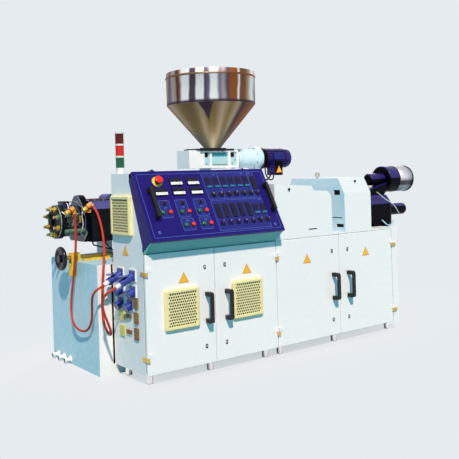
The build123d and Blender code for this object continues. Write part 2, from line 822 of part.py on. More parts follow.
# Feeder below the gate: a box with pockets in its front, standing on the shroud
feeder_left = -291
feeder_right = 199
feeder_half = 88
feeder_bottom = feeder_top - 143
feeder_axis_z = feeder_top - 67
throat_half = 80
feeder_pocket_low = feeder_bottom + 15
feeder_pocket_high = feeder_top - 14
feeder_pocket_depth = 12
feeder_pockets = ((-142, -89), (-71, 95), (117, 183))
with BuildPart() as feeder_housing:
    add(block((feeder_left, feeder_right), (-feeder_half, feeder_half), (feeder_bottom, feeder_top)))
    add(block((-throat_half, throat_half), (-throat_half, throat_half), (shroud_top, feeder_bottom)))
    for pocket in feeder_pockets:
        add(block(pocket, (-feeder_half, -feeder_half + feeder_pocket_depth),
                  (feeder_pocket_low, feeder_pocket_high)), mode=Mode.SUBTRACT)
keep(feeder_housing.part, "feeder_housing")

coupling_flange_r = 66
coupling_flange_right = 262
coupling_r = 62
disc_left = 470
disc_right = 530
disc_r = 98
with BuildPart() as feeder_coupling:
    add(cylinder_x(0, feeder_axis_z, coupling_flange_r, feeder_right, coupling_flange_right))
    add(cylinder_x(0, feeder_axis_z, coupling_r, coupling_flange_right, disc_left))
    add(cylinder_x(0, feeder_axis_z, disc_r, disc_left, disc_right))
keep(feeder_coupling.part, "feeder_coupling")

# Feeder motor with cooling fins and its terminal box
feeder_motor_r = 85
fin_height = 8
fin_thickness = 4
fin_count = 24
fins_left = disc_right + 28
fins_right = 800
feeder_motor_right = 865
feeder_motor_end_r = 22
terminal_left = disc_right + 6
terminal_right = 646
terminal_front = -135
terminal_bottom = feeder_axis_z - 133
terminal_top = feeder_axis_z - 18
with BuildPart() as feeder_motor:
    add(cylinder_x(0, feeder_axis_z, feeder_motor_r, disc_right, fins_left))
    add(cylinder_x(0, feeder_axis_z, feeder_motor_r, fins_right, feeder_motor_right))
    fillet(feeder_motor.edges().filter_by(GeomType.CIRCLE).group_by(Axis.X)[-1], feeder_motor_end_r)
    with BuildSketch(Plane((fins_left, 0, feeder_axis_z), x_dir=(0, 1, 0), z_dir=(1, 0, 0))):
        Circle(feeder_motor_r - fin_height)
        with PolarLocations(feeder_motor_r - fin_height, fin_count):
            Rectangle(2 * fin_height, fin_thickness)
    extrude(amount=fins_right - fins_left)
    add(block((terminal_left, terminal_right), (terminal_front, 0), (terminal_bottom, terminal_top)))
keep(feeder_motor.part, "feeder_motor")

# Handwheel with a dished web, and the screw that it turns
wheel_x = -1371
wheel_y = -70
wheel_z = base_top + 27
wheel_r = 84
rim_section_r = 15
web_thickness = 8
hub_r = 26
hub_half = 20
with BuildPart() as handwheel:
    with BuildSketch(Plane.XZ):
        with Locations((wheel_r - rim_section_r, 0)):
            Circle(rim_section_r)
        with Locations((hub_r / 2, 0)):
            Rectangle(hub_r, 2 * hub_half)
        with BuildLine():
            Polyline((hub_r - 2, -hub_half + web_thickness), (wheel_r - rim_section_r, 0),
                     (wheel_r - rim_section_r, web_thickness), (hub_r - 2, -hub_half + 2 * web_thickness),
                     close=True)
        make_face()
    revolve(axis=Axis.Z)
wheel_seat = Plane((wheel_x, wheel_y, wheel_z), x_dir=(0, 1, 0), z_dir=(-1, 0, 0))
keep(wheel_seat.location * handwheel.part, "handwheel")

screw_r = 14
screw_right = -945
with BuildPart() as adjusting_screw:
    add(cylinder_x(wheel_y, wheel_z, screw_r, wheel_x + hub_half, screw_right))
keep(adjusting_screw.part, "adjusting_screw")

# A channel on the left base's end carries the screw, and a guide bar lies beside it
channel_depth = 30
channel_half = 23
channel_sheet = 6
channel_bottom = base_top - 103
channel_top = base_top + 60
nut_right = base_left + 38
screw_bore_r = screw_r + seat_gap
guide_left = -1219
guide_right = -1011
guide_width = 16
guide_gap = 7
with BuildPart() as screw_bracket:
    add(block((base_left - channel_depth, base_left), (wheel_y - channel_half, wheel_y + channel_half),
              (channel_bottom, channel_top)))
    add(block((base_left - channel_depth, base_left - channel_sheet),
              (wheel_y - channel_half + channel_sheet, wheel_y + channel_half - channel_sheet),
              (channel_bottom, channel_top)), mode=Mode.SUBTRACT)
    add(block((base_left, nut_right), (wheel_y - channel_half, wheel_y + channel_half),
              (base_top, channel_top)))
    add(cylinder_x(wheel_y, wheel_z, screw_bore_r, base_left - channel_depth, nut_right), mode=Mode.SUBTRACT)
    guide_back = wheel_y - screw_r - guide_gap
    add(block((guide_left, guide_right), (guide_back - guide_width, guide_back),
              (base_top, base_top + guide_width)))
keep(screw_bracket.part, "screw_bracket")

# Sockets on the side panel, tilted down: lids are open over the two that are in use.
# Their heights and the cords' routes were measured at one barrel height, and follow it.
measured_height = 1020
rise = barrel_height / measured_height
socket_rows = (690 * rise, 590 * rise, 500 * rise)
socket_tilt = 26
socket_plate = 6
socket_plate_side = 80
socket_flange = 8
socket_flange_side = 64
socket_root = 12
socket_depth = 40
socket_r = 28
socket_columns = (-545, -705)
inner_column = -668
lid_r = 32
lid_disc = 5
lid_open_angle = 110
lid_sink = 2
lid_back = 8
plug_r = 25
plug_length = 62
gland_r = 14
gland_length = 34


def socket_axis(y, z):
    """The plane square to a socket's tilted axis, just inside its flange."""
    tilt = radians(socket_tilt)
    return Plane((cabinet_left - socket_plate + socket_root, y, z), x_dir=(0, 1, 0),
                 z_dir=(-cos(tilt), 0, -sin(tilt)))


def open_lid(seat):
    """The plane of a lid that stands open at the upper edge of a socket's mouth."""
    lift = radians(lid_open_angle)
    outward = seat.z_dir
    upward = Vector(outward.Z, 0, -outward.X)
    hinge = seat.origin + upward * (socket_r - lid_sink)
    along = outward * sin(lift) - upward * cos(lift)
    return Plane(hinge + along * (lid_r - lid_back), x_dir=(0, 1, 0), z_dir=(along.Z, 0, -along.X))


socket_places = [(socket_y, socket_z) for socket_z in socket_rows[:2] for socket_y in socket_columns]
socket_places += [(socket_columns[0], socket_rows[2]), (inner_column, socket_rows[2])]
with BuildPart() as socket_bank:
    for socket_y, socket_z in socket_places:
        wall = Plane((cabinet_left, socket_y, socket_z), x_dir=(0, 1, 0), z_dir=(-1, 0, 0))
        seat = socket_axis(socket_y, socket_z).offset(socket_depth + socket_root)
        with BuildSketch(wall):
            Rectangle(socket_plate_side, socket_plate_side)
        extrude(amount=socket_plate)
        with BuildSketch(wall.offset(socket_plate)):
            Rectangle(socket_flange_side, socket_flange_side)
        extrude(amount=socket_flange)
        with BuildSketch(socket_axis(socket_y, socket_z)):
            Circle(socket_r)
        extrude(amount=socket_depth + socket_root)
        with BuildSketch(open_lid(seat) if socket_z == socket_rows[0] else seat):
            Circle(lid_r)
        extrude(amount=lid_disc)
        add(block((cabinet_left, cabinet_left + socket_depth), (socket_y - socket_r, socket_y + socket_r),
                  (socket_z - socket_plate_side, socket_z + socket_plate_side)), mode=Mode.SUBTRACT)
keep(socket_bank.part, "socket_bank")

with BuildPart() as socket_plugs:
    for socket_y in socket_columns:
        seat = socket_axis(socket_y, socket_rows[0]).offset(socket_depth + socket_root)
        with BuildSketch(seat):
            Circle(plug_r)
        extrude(amount=plug_length)
        with BuildSketch(seat.offset(plug_length)):
            Circle(gland_r)
        extrude(amount=gland_length)
keep(socket_plugs.part, "socket_plugs")

# Flush connectors on the side panel, as (y, z, width, height)
connector_thickness = 10
wide_connectors = ((-737, 516, 50, 67), (-737, 420, 50, 73), (-737, 318, 50, 76))
tall_connectors = ((-552, 414, 64, 64), (-552, 316, 64, 66))
small_connectors = ((-659, 419, 24, 24), (-622, 419, 24, 24), (-659, 319, 24, 24), (-622, 319, 24, 24))
with BuildPart() as side_connectors:
    with BuildSketch(Plane((cabinet_left, 0, 0), x_dir=(0, -1, 0), z_dir=(-1, 0, 0))):
        for y, z, width, height in wide_connectors + tall_connectors + small_connectors:
            with Locations((-y, z * rise)):
                Rectangle(width, height)
    extrude(amount=connector_thickness)
keep(side_connectors.part, "side_connectors")

# Signal tower
tower_r = 30
tower_height = 280
tower_from_edge = 36
tower_from_front = 352
tower_x = cabinet_left + tower_from_edge
tower_y = door_plane + tower_from_front
with BuildPart() as signal_tower:
    with BuildSketch(Plane.XY.offset(cabinet_top_z)):
        with Locations((tower_x, tower_y)):
            Circle(tower_r)
    extrude(amount=tower_height)
keep(signal_tower.part, "signal_tower")

# Pipes at the barrel: a water pipe on the collar, and two drains from the shroud to the left base
water_pipe_r = 14
water_pipe_left = head_left + 22
water_pipe_y = -128
drain_r = 5
drain_bend_r = 22
drain_routes = (
    ((-1146, -110, shroud_bottom), (-1146, -110, shroud_bottom - 22), (-1069, -110, shroud_bottom - 45),
     (-950, -110, shroud_bottom - 80), (-950, -110, base_top)),
    ((-1050, -118, shroud_bottom), (-1050, -118, shroud_bottom - 20), (-1000, -118, shroud_bottom - 66),
     (-930, -118, shroud_bottom - 86), (-930, -118, base_top)),
)


def pipe(points, radius, bend_r):
    """A round pipe along straight runs with equal bends."""
    with BuildPart() as tube:
        with BuildLine() as route:
            FilletPolyline(*points, radius=bend_r)
        with BuildSketch(Plane(route.line @ 0, z_dir=route.line % 0)):
            Circle(radius)
        sweep()
    return tube.part


with BuildPart() as barrel_pipes:
    add(cylinder_x(water_pipe_y, barrel_height - 63, water_pipe_r, water_pipe_left, collar_left))
    for drain_route in drain_routes:
        add(pipe(drain_route, drain_r, drain_bend_r))
keep(barrel_pipes.part, "barrel_pipes")

# Heater cords: straight runs joined by tangent arcs
cord_r = 8
cord_lead = 26
cord_1_points = [(head_left + 74, -170, barrel_height + 56), (-1302, -170, 1010),
                 (-1303, -176, 940), (-1305, -172, 840),
                 (-1307, -154, 740), (-1307, -126, 640), (-1307, -98, 550), (-1309, -80, 465),
                 (-1313, -84, 390), (-1318, -118, 325), (-1314, -180, 287), (-1307, -250, 280),
                 (-1306, -320, 298), (-1308, -375, 340), (-1314, -415, 395), (-1324, -440, 450),
                 (-1336, -465, 495), (-1347, -492, 533), (-1352, -518, 568), (-1341, -537, 596)]
cord_2_points = [(collar_left + 46, -172, barrel_height + 102), (-1152, -192, 1094),
                 (-1152, -232, 1042), (-1158, -280, 978),
                 (-1176, -338, 910), (-1202, -398, 840), (-1230, -442, 765), (-1252, -466, 680),
                 (-1262, -474, 590), (-1268, -476, 500), (-1272, -486, 415), (-1271, -512, 350),
                 (-1269, -554, 312), (-1274, -598, 306), (-1287, -630, 338), (-1307, -636, 388),
                 (-1328, -636, 440), (-1345, -640, 490), (-1354, -650, 532), (-1355, -672, 568),
                 (-1341, -692, 596)]


def last_stretch(socket_y):
    """The two points at which a cord turns into its plug's gland."""
    plug_reach = socket_root + socket_depth + plug_length + gland_length
    gland = socket_axis(socket_y, socket_rows[0]).offset(plug_reach)
    near = gland.offset(cord_lead).origin
    return [(near.X, near.Y, near.Z), (gland.origin.X, gland.origin.Y, gland.origin.Z)]


def raised(points):
    """A measured route whose heights, after its start, follow the barrel's height."""
    return points[:1] + [(x, y, z * rise) for x, y, z in points[1:]]


def cord(points):
    """A tube along a route whose arcs are as large as the runs allow."""
    radii = []
    corners = [Vector(*point) for point in points]
    for before, corner, after in zip(corners, corners[1:], corners[2:]):
        first = corner - before
        second = after - corner
        turn = radians(first.get_angle(second))
        radii.append(0.45 * min(first.length, second.length) / tan(turn / 2))
    print("smallest arc radii", sorted(round(radius) for radius in radii)[:4])
    with BuildPart() as tube:
        with BuildLine() as route:
            FilletPolyline(*points, radius=radii)
        with BuildSketch(Plane(route.line @ 0, z_dir=route.line % 0)):
            Circle(cord_r)
        sweep()
    print("cord length", round(sum(edge.length for edge in route.edges())))
    return tube.part


# Connectors from which the cords start, one on the heater bands and one on the collar
connector_r = 18
relief_r = 12
relief_grip = 34
arm_width = 26
arm_height = 22
arm_inset = 6
connector_1_ends = ((head_left + 16, -170, barrel_height + 62), (head_left + 70, -170, barrel_height + 96))
connector_2_ends = ((collar_left - 22, -172, barrel_height + 76), (collar_left + 28, -172, barrel_height + 118))
with BuildPart() as heater_connectors:
    for near_end, far_end in (connector_1_ends, connector_2_ends):
        reach = Vector(*far_end) - Vector(*near_end)
        with BuildSketch(Plane(near_end, z_dir=reach)):
            Circle(connector_r)
        extrude(amount=reach.length)
    for route_points in (raised(cord_1_points), raised(cord_2_points)):
        start = Vector(*route_points[0])
        heading = Vector(*route_points[1]) - start
        with BuildSketch(Plane(start, z_dir=heading)):
            Circle(relief_r)
        extrude(amount=-relief_grip)
    add(block((band_left + arm_inset, band_left + arm_inset + arm_width), (connector_1_ends[0][1], 0),
              (barrel_height + 62, barrel_height + 62 + arm_height)))
    add(block((collar_left + arm_inset, collar_left + arm_inset + arm_width),
              (connector_2_ends[0][1], -collar_half), (barrel_height + 60, barrel_height + 60 + arm_height)))
    add(cylinder_x(0, barrel_height, band_r + seat_gap, head_left, band_right), mode=Mode.SUBTRACT)
keep(heater_connectors.part, "heater_connectors")

keep(cord(raised(cord_1_points) + last_stretch(socket_columns[0])), "heater_cord_1")
keep(cord(raised(cord_2_points) + last_stretch(socket_columns[1])), "heater_cord_2")
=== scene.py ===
# %% [markdown]
# # A conical twin-screw plastic extruder, dressed for its portrait
# The machine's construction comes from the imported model: cabinets, doors, console,
# barrel, hopper, feeder and drive. This lesson adds what makes it look real, such as
# paint, spun steel, buttons, meters, cords and grilles. Every length is in metres and
# every piece is placed in the machine's own frame, with +X from the barrel's open end
# to the motor, +Y from the doors to the back and +Z up.

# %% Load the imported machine
from math import cos, hypot, pi, radians, sin

import bpy
from mathutils import Matrix, Vector


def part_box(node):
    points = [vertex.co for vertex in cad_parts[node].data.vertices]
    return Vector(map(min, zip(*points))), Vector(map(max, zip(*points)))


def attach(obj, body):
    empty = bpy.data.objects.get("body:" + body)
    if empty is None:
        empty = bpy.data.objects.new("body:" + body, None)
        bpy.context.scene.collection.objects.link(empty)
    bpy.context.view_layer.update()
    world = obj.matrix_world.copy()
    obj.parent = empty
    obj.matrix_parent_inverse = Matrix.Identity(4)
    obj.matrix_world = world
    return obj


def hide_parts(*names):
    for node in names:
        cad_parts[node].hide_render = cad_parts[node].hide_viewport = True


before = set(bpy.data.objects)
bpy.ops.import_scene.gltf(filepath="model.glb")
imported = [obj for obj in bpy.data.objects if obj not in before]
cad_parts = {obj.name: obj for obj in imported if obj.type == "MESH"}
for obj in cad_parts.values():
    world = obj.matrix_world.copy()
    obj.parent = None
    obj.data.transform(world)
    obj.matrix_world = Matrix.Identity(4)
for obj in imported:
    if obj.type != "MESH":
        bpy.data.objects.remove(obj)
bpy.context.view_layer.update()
mm = 0.001

# %% [markdown]
# ## The camera
# The photograph was taken from the front left, a little above the console, with a
# longish lens. Straight edges of the cabinet gave its place and direction. The frame
# was cut out of a larger picture, so the lens axis isn't at the middle of it, and the
# camera's vertical shift stands for that. A slight roll leans the verticals.

# %% Set up the camera
camera_place = Vector((-3.335, -4.660, 1.3125))
camera_yaw = 0.64455
camera_pitch = 0.00134
camera_roll = -0.02958
forward = Vector((sin(camera_yaw) * cos(camera_pitch), cos(camera_yaw) * cos(camera_pitch),
                  sin(camera_pitch)))
level = Vector((cos(camera_yaw), -sin(camera_yaw), 0))
above = level.cross(forward)
right = cos(camera_roll) * level + sin(camera_roll) * above
upward = cos(camera_roll) * above - sin(camera_roll) * level
camera_data = bpy.data.cameras.new("portrait")
camera_data.lens = 54.73
camera_data.sensor_width = 36
camera_data.shift_y = -0.1203
camera = bpy.data.objects.new("portrait", camera_data)
camera_turn = Matrix((right, upward, -forward)).transposed().to_4x4()
camera.matrix_world = Matrix.Translation(camera_place) @ camera_turn
bpy.context.scene.collection.objects.link(camera)
bpy.context.scene.camera = camera
bpy.context.scene.view_settings.view_transform = "Standard"
print("camera looks along", [round(v, 3) for v in forward])

# %% [markdown]
# ## Shader nodes in a few words
# The world, the floor and every finish are built from nodes. One helper makes a node
# and gives each of its inputs a value or another node's output, and the others name
# the kinds that turn up most: sums, noise, mixes, ramps and smooth steps.


# %% Helpers for shader nodes
def rgba(colour):
    return (*colour, 1)


def feed(tree, made, feeds):
    """Gives each named input of a node a value, or links another node's output to it."""
    for label, value in feeds.items():
        if isinstance(value, bpy.types.NodeSocket):
            tree.links.new(value, made.inputs[label])
        else:
            made.inputs[label].default_value = value


def node(tree, kind, feeds=None, **settings):
    """A shader node with its settings and its fed inputs."""
    made = tree.nodes.new("ShaderNode" + kind)
    for setting, value in settings.items():
        setattr(made, setting, value)
    feed(tree, made, feeds or {})
    return made


def maths(tree, operation, first, second=0.0, third=0.0):
    return node(tree, "Math", {0: first, 1: second, 2: third}, operation=operation).outputs[0]


def noise(tree, scale, detail, vector):
    feeds = {"Scale": scale, "Detail": detail, "Vector": vector}
    return node(tree, "TexNoise", feeds).outputs["Fac"]


def mixed(tree, factor, first, second):
    """A colour between two colours."""
    return node(tree, "Mix", {"Factor": factor, "A": first, "B": second}, data_type="RGBA").outputs["Result"]


def between(tree, value, low, high, start=0.0):
    """A smooth step from start to 1, while a value goes from one bound to the other."""
    feeds = {"Value": value, "From Min": low, "From Max": high, "To Min": start}
    return node(tree, "MapRange", feeds, interpolation_type="SMOOTHSTEP").outputs["Result"]


def ramp(tree, stops, value):
    """A colour ramp with its stops."""
    made = node(tree, "ValToRGB", {"Fac": value})
    ends = made.color_ramp.elements
    for end, (position, colour) in zip(ends, (stops[0], stops[-1])):
        end.position = position
        end.color = rgba(colour)
    for position, colour in stops[1:-1]:
        ends.new(position).color = rgba(colour)
    return made.outputs["Color"]


def object_place(tree):
    return node(tree, "TexCoord").outputs["Object"]


# %% [markdown]
# ## Light
# The doors are nearly white and the faces that turn away go light blue, as on a
# machine in a hall with a warm lamp in front and sky light from the roof. So one sun
# stands in front, high and a little left, and the world gives a cool fill. A second
# and weaker sun behind the machine keeps its back readable in other views.

# %% Set up the lamps and the world
background = (0.791, 0.831, 0.863)
fill_colour = (0.09, 0.37, 0.51)


def sun(name, travel, strength, colour, width_deg):
    """A sun whose light travels along a direction."""
    data = bpy.data.lights.new(name, "SUN")
    data.energy = strength
    data.color = colour
    data.angle = radians(width_deg)
    lamp = bpy.data.objects.new(name, data)
    lamp.rotation_mode = "QUATERNION"
    lamp.rotation_quaternion = Vector(travel).to_track_quat("-Z", "Y")
    bpy.context.scene.collection.objects.link(lamp)


sun("front_lamp", (0.58, 1.10, -1.30), 4.1, (1.0, 0.80, 0.68), 2)
sun("back_lamp", (-0.9, -0.8, -0.7), 0.7, (1.0, 0.86, 0.78), 12)

world = bpy.data.worlds.new("hall")
bpy.context.scene.world = world
world.use_nodes = True
hall = world.node_tree
hall.nodes.clear()
rays = node(hall, "LightPath").outputs
mirrored = maths(hall, "MAXIMUM", rays["Is Glossy Ray"], rays["Is Transmission Ray"])
seen = maths(hall, "MAXIMUM", rays["Is Camera Ray"], mirrored)
fill = node(hall, "Background", {"Color": rgba(fill_colour)})
backdrop = node(hall, "Background", {"Color": rgba(background)})
choice = node(hall, "MixShader", {"Fac": seen, 1: fill.outputs[0], 2: backdrop.outputs[0]})
node(hall, "OutputWorld", {"Surface": choice.outputs[0]})

# %% [markdown]
# ## Floor
# A pale floor runs out to the horizon. Near the machine it is a plain diffuse surface
# that takes its shadow. Further out it turns into the backdrop's own colour, so that
# no line shows where the floor ends. Light that it throws up is bluer than it looks.

# %% Make the floor
floor_reach = 40
floor_squeeze = (0.45, 1, 0)
shadow_zone = 0.6
fade_end = 1.45
least_fade = 0.72
floor_thrown = (0.10, 0.27, 0.34)
floor_seen = (0.775, 0.745, 0.755)
floor_mesh = bpy.data.meshes.new("floor")
floor_corners = [(x * floor_reach, y * floor_reach, 0) for x, y in ((-1, -1), (1, -1), (1, 1), (-1, 1))]
floor_mesh.from_pydata(floor_corners, [], [(0, 1, 2, 3)])
floor = bpy.data.objects.new("floor", floor_mesh)
bpy.context.scene.collection.objects.link(floor)
floor_paint = bpy.data.materials.new("floor")
floor_paint.use_nodes = True
ground = floor_paint.node_tree
ground.nodes.clear()
squeezed = node(ground, "Mapping", {"Vector": object_place(ground), "Scale": floor_squeeze}).outputs["Vector"]
distance = node(ground, "VectorMath", {0: squeezed}, operation="LENGTH").outputs["Value"]
fade = between(ground, distance, shadow_zone, fade_end, start=least_fade)
rays = node(ground, "LightPath").outputs
faded = maths(ground, "MULTIPLY", fade, rays["Is Camera Ray"])
shown = maths(ground, "MAXIMUM", rays["Is Camera Ray"], rays["Is Glossy Ray"])
near = node(ground, "BsdfDiffuse", {"Color": mixed(ground, shown, rgba(floor_thrown), rgba(floor_seen))})
away = node(ground, "Emission", {"Color": rgba(background)})
blend = node(ground, "MixShader", {"Fac": faded, 1: near.outputs[0], 2: away.outputs[0]})
node(ground, "OutputMaterial", {"Surface": blend.outputs[0]})
floor.data.materials.append(floor_paint)

# %% [markdown]
# ## Shared effects as node groups
# Three effects turn up in many finishes, so each is a node group that is built once.
# Orange peel is the fine waviness of sprayed paint. Handling is the faint cloudiness
# that hands and wiping leave. Drawn lines are the long fine scratches of rolled or
# turned metal. A group has named inputs, and each material sets its own values.


# %% A helper that starts a node group
def start_group(name, inputs, outputs):
    """A shader group; gives the group, what it is given and what it gives back."""
    group = bpy.data.node_groups.new(name, "ShaderNodeTree")
    for label, kind, value in inputs:
        socket = group.interface.new_socket(label, in_out="INPUT", socket_type=kind)
        socket.default_value = value
    for label, kind in outputs:
        group.interface.new_socket(label, in_out="OUTPUT", socket_type=kind)
    return group, group.nodes.new("NodeGroupInput").outputs, group.nodes.new("NodeGroupOutput")


# %% Orange peel of sprayed paint
peel_group, given, result = start_group("Orange peel", [("Size", "NodeSocketFloat", 900.0)],
                                        [("Height", "NodeSocketFloat")])
waves = noise(peel_group, given["Size"], 1.5, object_place(peel_group))
feed(peel_group, result, {"Height": waves})

# %% Cloudiness from hands and wiping
cloud_group, given, result = start_group(
    "Handling",
    [("Clean", "NodeSocketColor", (0.8, 0.8, 0.8, 1)), ("Soiled", "NodeSocketColor", (0.6, 0.6, 0.6, 1)),
     ("Amount", "NodeSocketFloat", 0.3), ("Roughness", "NodeSocketFloat", 0.35)],
    [("Colour", "NodeSocketColor"), ("Roughness", "NodeSocketFloat")])
place = object_place(cloud_group)
wide = noise(cloud_group, 2.6, 4.0, place)
fine = noise(cloud_group, 31.0, 6.0, place)
clouds = maths(cloud_group, "MULTIPLY", wide, fine)
cloud_range = node(cloud_group, "MapRange", {"Value": clouds, "From Min": 0.18, "From Max": 0.42})
soil = maths(cloud_group, "MULTIPLY", cloud_range.outputs["Result"], given["Amount"])
feed(cloud_group, result, {"Colour": mixed(cloud_group, soil, given["Clean"], given["Soiled"]),
                           "Roughness": maths(cloud_group, "MULTIPLY_ADD", soil, 0.25, given["Roughness"])})

# %% Drawn lines of rolled and turned metal
drawn_group, given, result = start_group(
    "Drawn lines",
    [("Stretch", "NodeSocketVector", (4.0, 4.0, 400.0)), ("Roughness", "NodeSocketFloat", 0.25)],
    [("Height", "NodeSocketFloat"), ("Roughness", "NodeSocketFloat")])
stretched = node(drawn_group, "VectorMath", {0: object_place(drawn_group), 1: given["Stretch"]},
                 operation="MULTIPLY").outputs["Vector"]
lines = noise(drawn_group, 1.0, 3.0, stretched)
feed(drawn_group, result, {"Height": lines,
                           "Roughness": maths(drawn_group, "MULTIPLY_ADD", lines, 0.22, given["Roughness"])})

# %% [markdown]
# ## Finishes
# Each finish is one short function over the groups. Paint has a soiled tone a little
# darker than its clean one, a soft gloss and a shallow orange peel. Metal has drawn
# lines in its roughness and its height. Plastic is like paint with a finer grain.


# %% Helpers for finishes
def shader(name):
    """A new material and its Principled shader."""
    material = bpy.data.materials.new(name)
    material.use_nodes = True
    return material, material.node_tree, material.node_tree.nodes["Principled BSDF"]


def bump(tree, height, strength):
    feeds = {"Strength": strength, "Distance": 0.4 * mm, "Height": height}
    return node(tree, "Bump", feeds).outputs["Normal"]


def paint(name, clean, soiled, roughness=0.32, amount=0.35, peel=0.25, coat=0.0, size=900.0, gloss=0.5):
    """Sprayed paint or moulded plastic: cloudy colour, soft gloss and orange peel."""
    material, tree, surface = shader(name)
    handled = node(tree, "Group", {"Clean": rgba(clean), "Soiled": rgba(soiled), "Amount": amount,
                                   "Roughness": roughness}, node_tree=cloud_group)
    peeled = node(tree, "Group", {"Size": size}, node_tree=peel_group)
    feed(tree, surface, {"Base Color": handled.outputs["Colour"], "Roughness": handled.outputs["Roughness"],
                         "Specular IOR Level": gloss, "Coat Weight": coat, "Coat Roughness": 0.12,
                         "Normal": bump(tree, peeled.outputs["Height"], peel)})
    return material


def metal(name, clean, stained, roughness=0.22, stretch=(4.0, 4.0, 400.0)):
    """Rolled, turned or plated metal with drawn lines."""
    material, tree, surface = shader(name)
    drawn = node(tree, "Group", {"Stretch": stretch, "Roughness": roughness}, node_tree=drawn_group)
    handled = node(tree, "Group", {"Clean": rgba(clean), "Soiled": rgba(stained), "Amount": 0.6},
                   node_tree=cloud_group)
    feed(tree, surface, {"Base Color": handled.outputs["Colour"], "Roughness": drawn.outputs["Roughness"],
                         "Metallic": 1.0, "Normal": bump(tree, drawn.outputs["Height"], 0.15)})
    return material


# %% Mix the finishes
white_paint = paint("white_paint", (0.90, 0.90, 0.89), (0.82, 0.85, 0.87), amount=0.5)
side_paint = paint("side_paint", (0.84, 0.86, 0.86), (0.74, 0.80, 0.82), amount=0.5)
# pale blue painted shade for the left base's faces that turn away; its front stays white
base_shade_paint = paint("base_shade_paint", (0.50, 0.72, 0.80), (0.36, 0.64, 0.76), amount=0.9)
indigo_paint = paint("indigo_paint", (0.014, 0.007, 0.150), (0.009, 0.005, 0.11), roughness=0.3, gloss=0.13)
motor_paint = paint("motor_paint", (0.024, 0.014, 0.145), (0.006, 0.005, 0.030), roughness=0.26, gloss=0.25,
                    amount=0.7)
# near black: painted shade on the sides and undersides of the dark navy parts, and the black of the feeder
# motor's end bell
black_shade_paint = paint("black_shade_paint", (0.001, 0.001, 0.003), (0.004, 0.004, 0.010), roughness=0.35, gloss=0.05)
wheel_paint = paint("wheel_paint", (0.003, 0.004, 0.010), (0.008, 0.010, 0.025), roughness=0.16, gloss=0.35)
# a darker copy of the white paint: painted shade that tones down the light on the guard's upward slope
guard_slope_shade = paint("guard_slope_shade", (0.70, 0.74, 0.76), (0.64, 0.69, 0.72), amount=0.5)
shade_paint = paint("shade_paint", (0.60, 0.79, 0.88), (0.50, 0.72, 0.84), amount=0.6)
# teal for the console's underside: partly its paint and partly painted shade of a face that looks down
underside_shade_teal = paint("underside_shade_teal", (0.14, 0.50, 0.48), (0.08, 0.38, 0.40), roughness=0.4, gloss=0.25)
shroud_paint = paint("shroud_paint", (0.006, 0.006, 0.009), (0.014, 0.012, 0.016), roughness=0.35, gloss=0.2)
# a lighter navy: painted highlight on the shroud's upper chamfers, also used for the raised cover
highlight_navy_paint = paint("highlight_navy_paint", (0.065, 0.070, 0.23), (0.03, 0.03, 0.11), roughness=0.35, gloss=0.25)
collar_paint = paint("collar_paint", (0.018, 0.018, 0.12), (0.010, 0.010, 0.05), roughness=0.3)
rail_paint = paint("rail_paint", (0.10, 0.02, 0.05), (0.04, 0.01, 0.03), roughness=0.3)
yellow_paint = paint("yellow_paint", (0.80, 0.58, 0.03), (0.45, 0.33, 0.04), roughness=0.4, amount=0.8)
pale_green = paint("pale_green", (0.13, 0.27, 0.18), (0.05, 0.11, 0.08), roughness=0.35, amount=0.8)
# pale blue: painted shade in the feeder's pockets and in the coupling's groove, and the colour of a cable
shade_and_cable_blue = paint("shade_and_cable_blue", (0.42, 0.66, 0.72), (0.32, 0.56, 0.64), roughness=0.4)
# teal painted shadow under the lintel of the feeder's window
lintel_shadow_teal = paint("lintel_shadow_teal", (0.02, 0.30, 0.36), (0.01, 0.2, 0.26), roughness=0.35)
black_plastic = paint("black_plastic", (0.006, 0.006, 0.008), (0.015, 0.015, 0.016), roughness=0.28,
                      size=1800.0, gloss=0.3)
cream_plastic = paint("cream_plastic", (0.86, 0.77, 0.40), (0.74, 0.66, 0.33), roughness=0.45, size=1500.0)
blue_plastic = paint("blue_plastic", (0.018, 0.040, 0.30), (0.010, 0.022, 0.17), roughness=0.25, coat=0.3)
brown_plastic = paint("brown_plastic", (0.17, 0.07, 0.012), (0.30, 0.20, 0.05), roughness=0.4, amount=0.9)
orange_plastic = paint("orange_plastic", (0.85, 0.30, 0.03), (0.6, 0.2, 0.02), roughness=0.35)
green_plastic = paint("green_plastic", (0.62, 0.62, 0.16), (0.4, 0.42, 0.1), roughness=0.4)
red_plastic = paint("red_plastic", (0.80, 0.03, 0.02), (0.5, 0.02, 0.02), roughness=0.25, coat=0.3)
filter_dark = paint("filter_dark", (0.035, 0.030, 0.016), (0.02, 0.018, 0.012), roughness=0.9, peel=0.0,
                    gloss=0.1)
cord_rubber = paint("cord_rubber", (0.50, 0.040, 0.015), (0.34, 0.03, 0.012), roughness=0.42, size=2600.0,
                    gloss=0.25)
dark_steel = paint("dark_steel", (0.004, 0.005, 0.007), (0.02, 0.02, 0.022), roughness=0.4, gloss=0.1)
stainless = metal("stainless", (0.66, 0.62, 0.57), (0.52, 0.46, 0.42), roughness=0.16)
machined = metal("machined", (0.50, 0.50, 0.52), (0.35, 0.34, 0.34), roughness=0.3, stretch=(300.0, 6.0, 6.0))
foot_metal = metal("foot_metal", (0.93, 0.93, 0.95), (0.85, 0.85, 0.88), roughness=0.3)
brass = metal("brass", (0.72, 0.52, 0.16), (0.42, 0.30, 0.10), roughness=0.25)
zinc = metal("zinc", (0.36, 0.40, 0.36), (0.16, 0.18, 0.14), roughness=0.4)
gold = metal("gold", (0.55, 0.42, 0.10), (0.22, 0.20, 0.04), roughness=0.42)
print("finishes", len(bpy.data.materials))
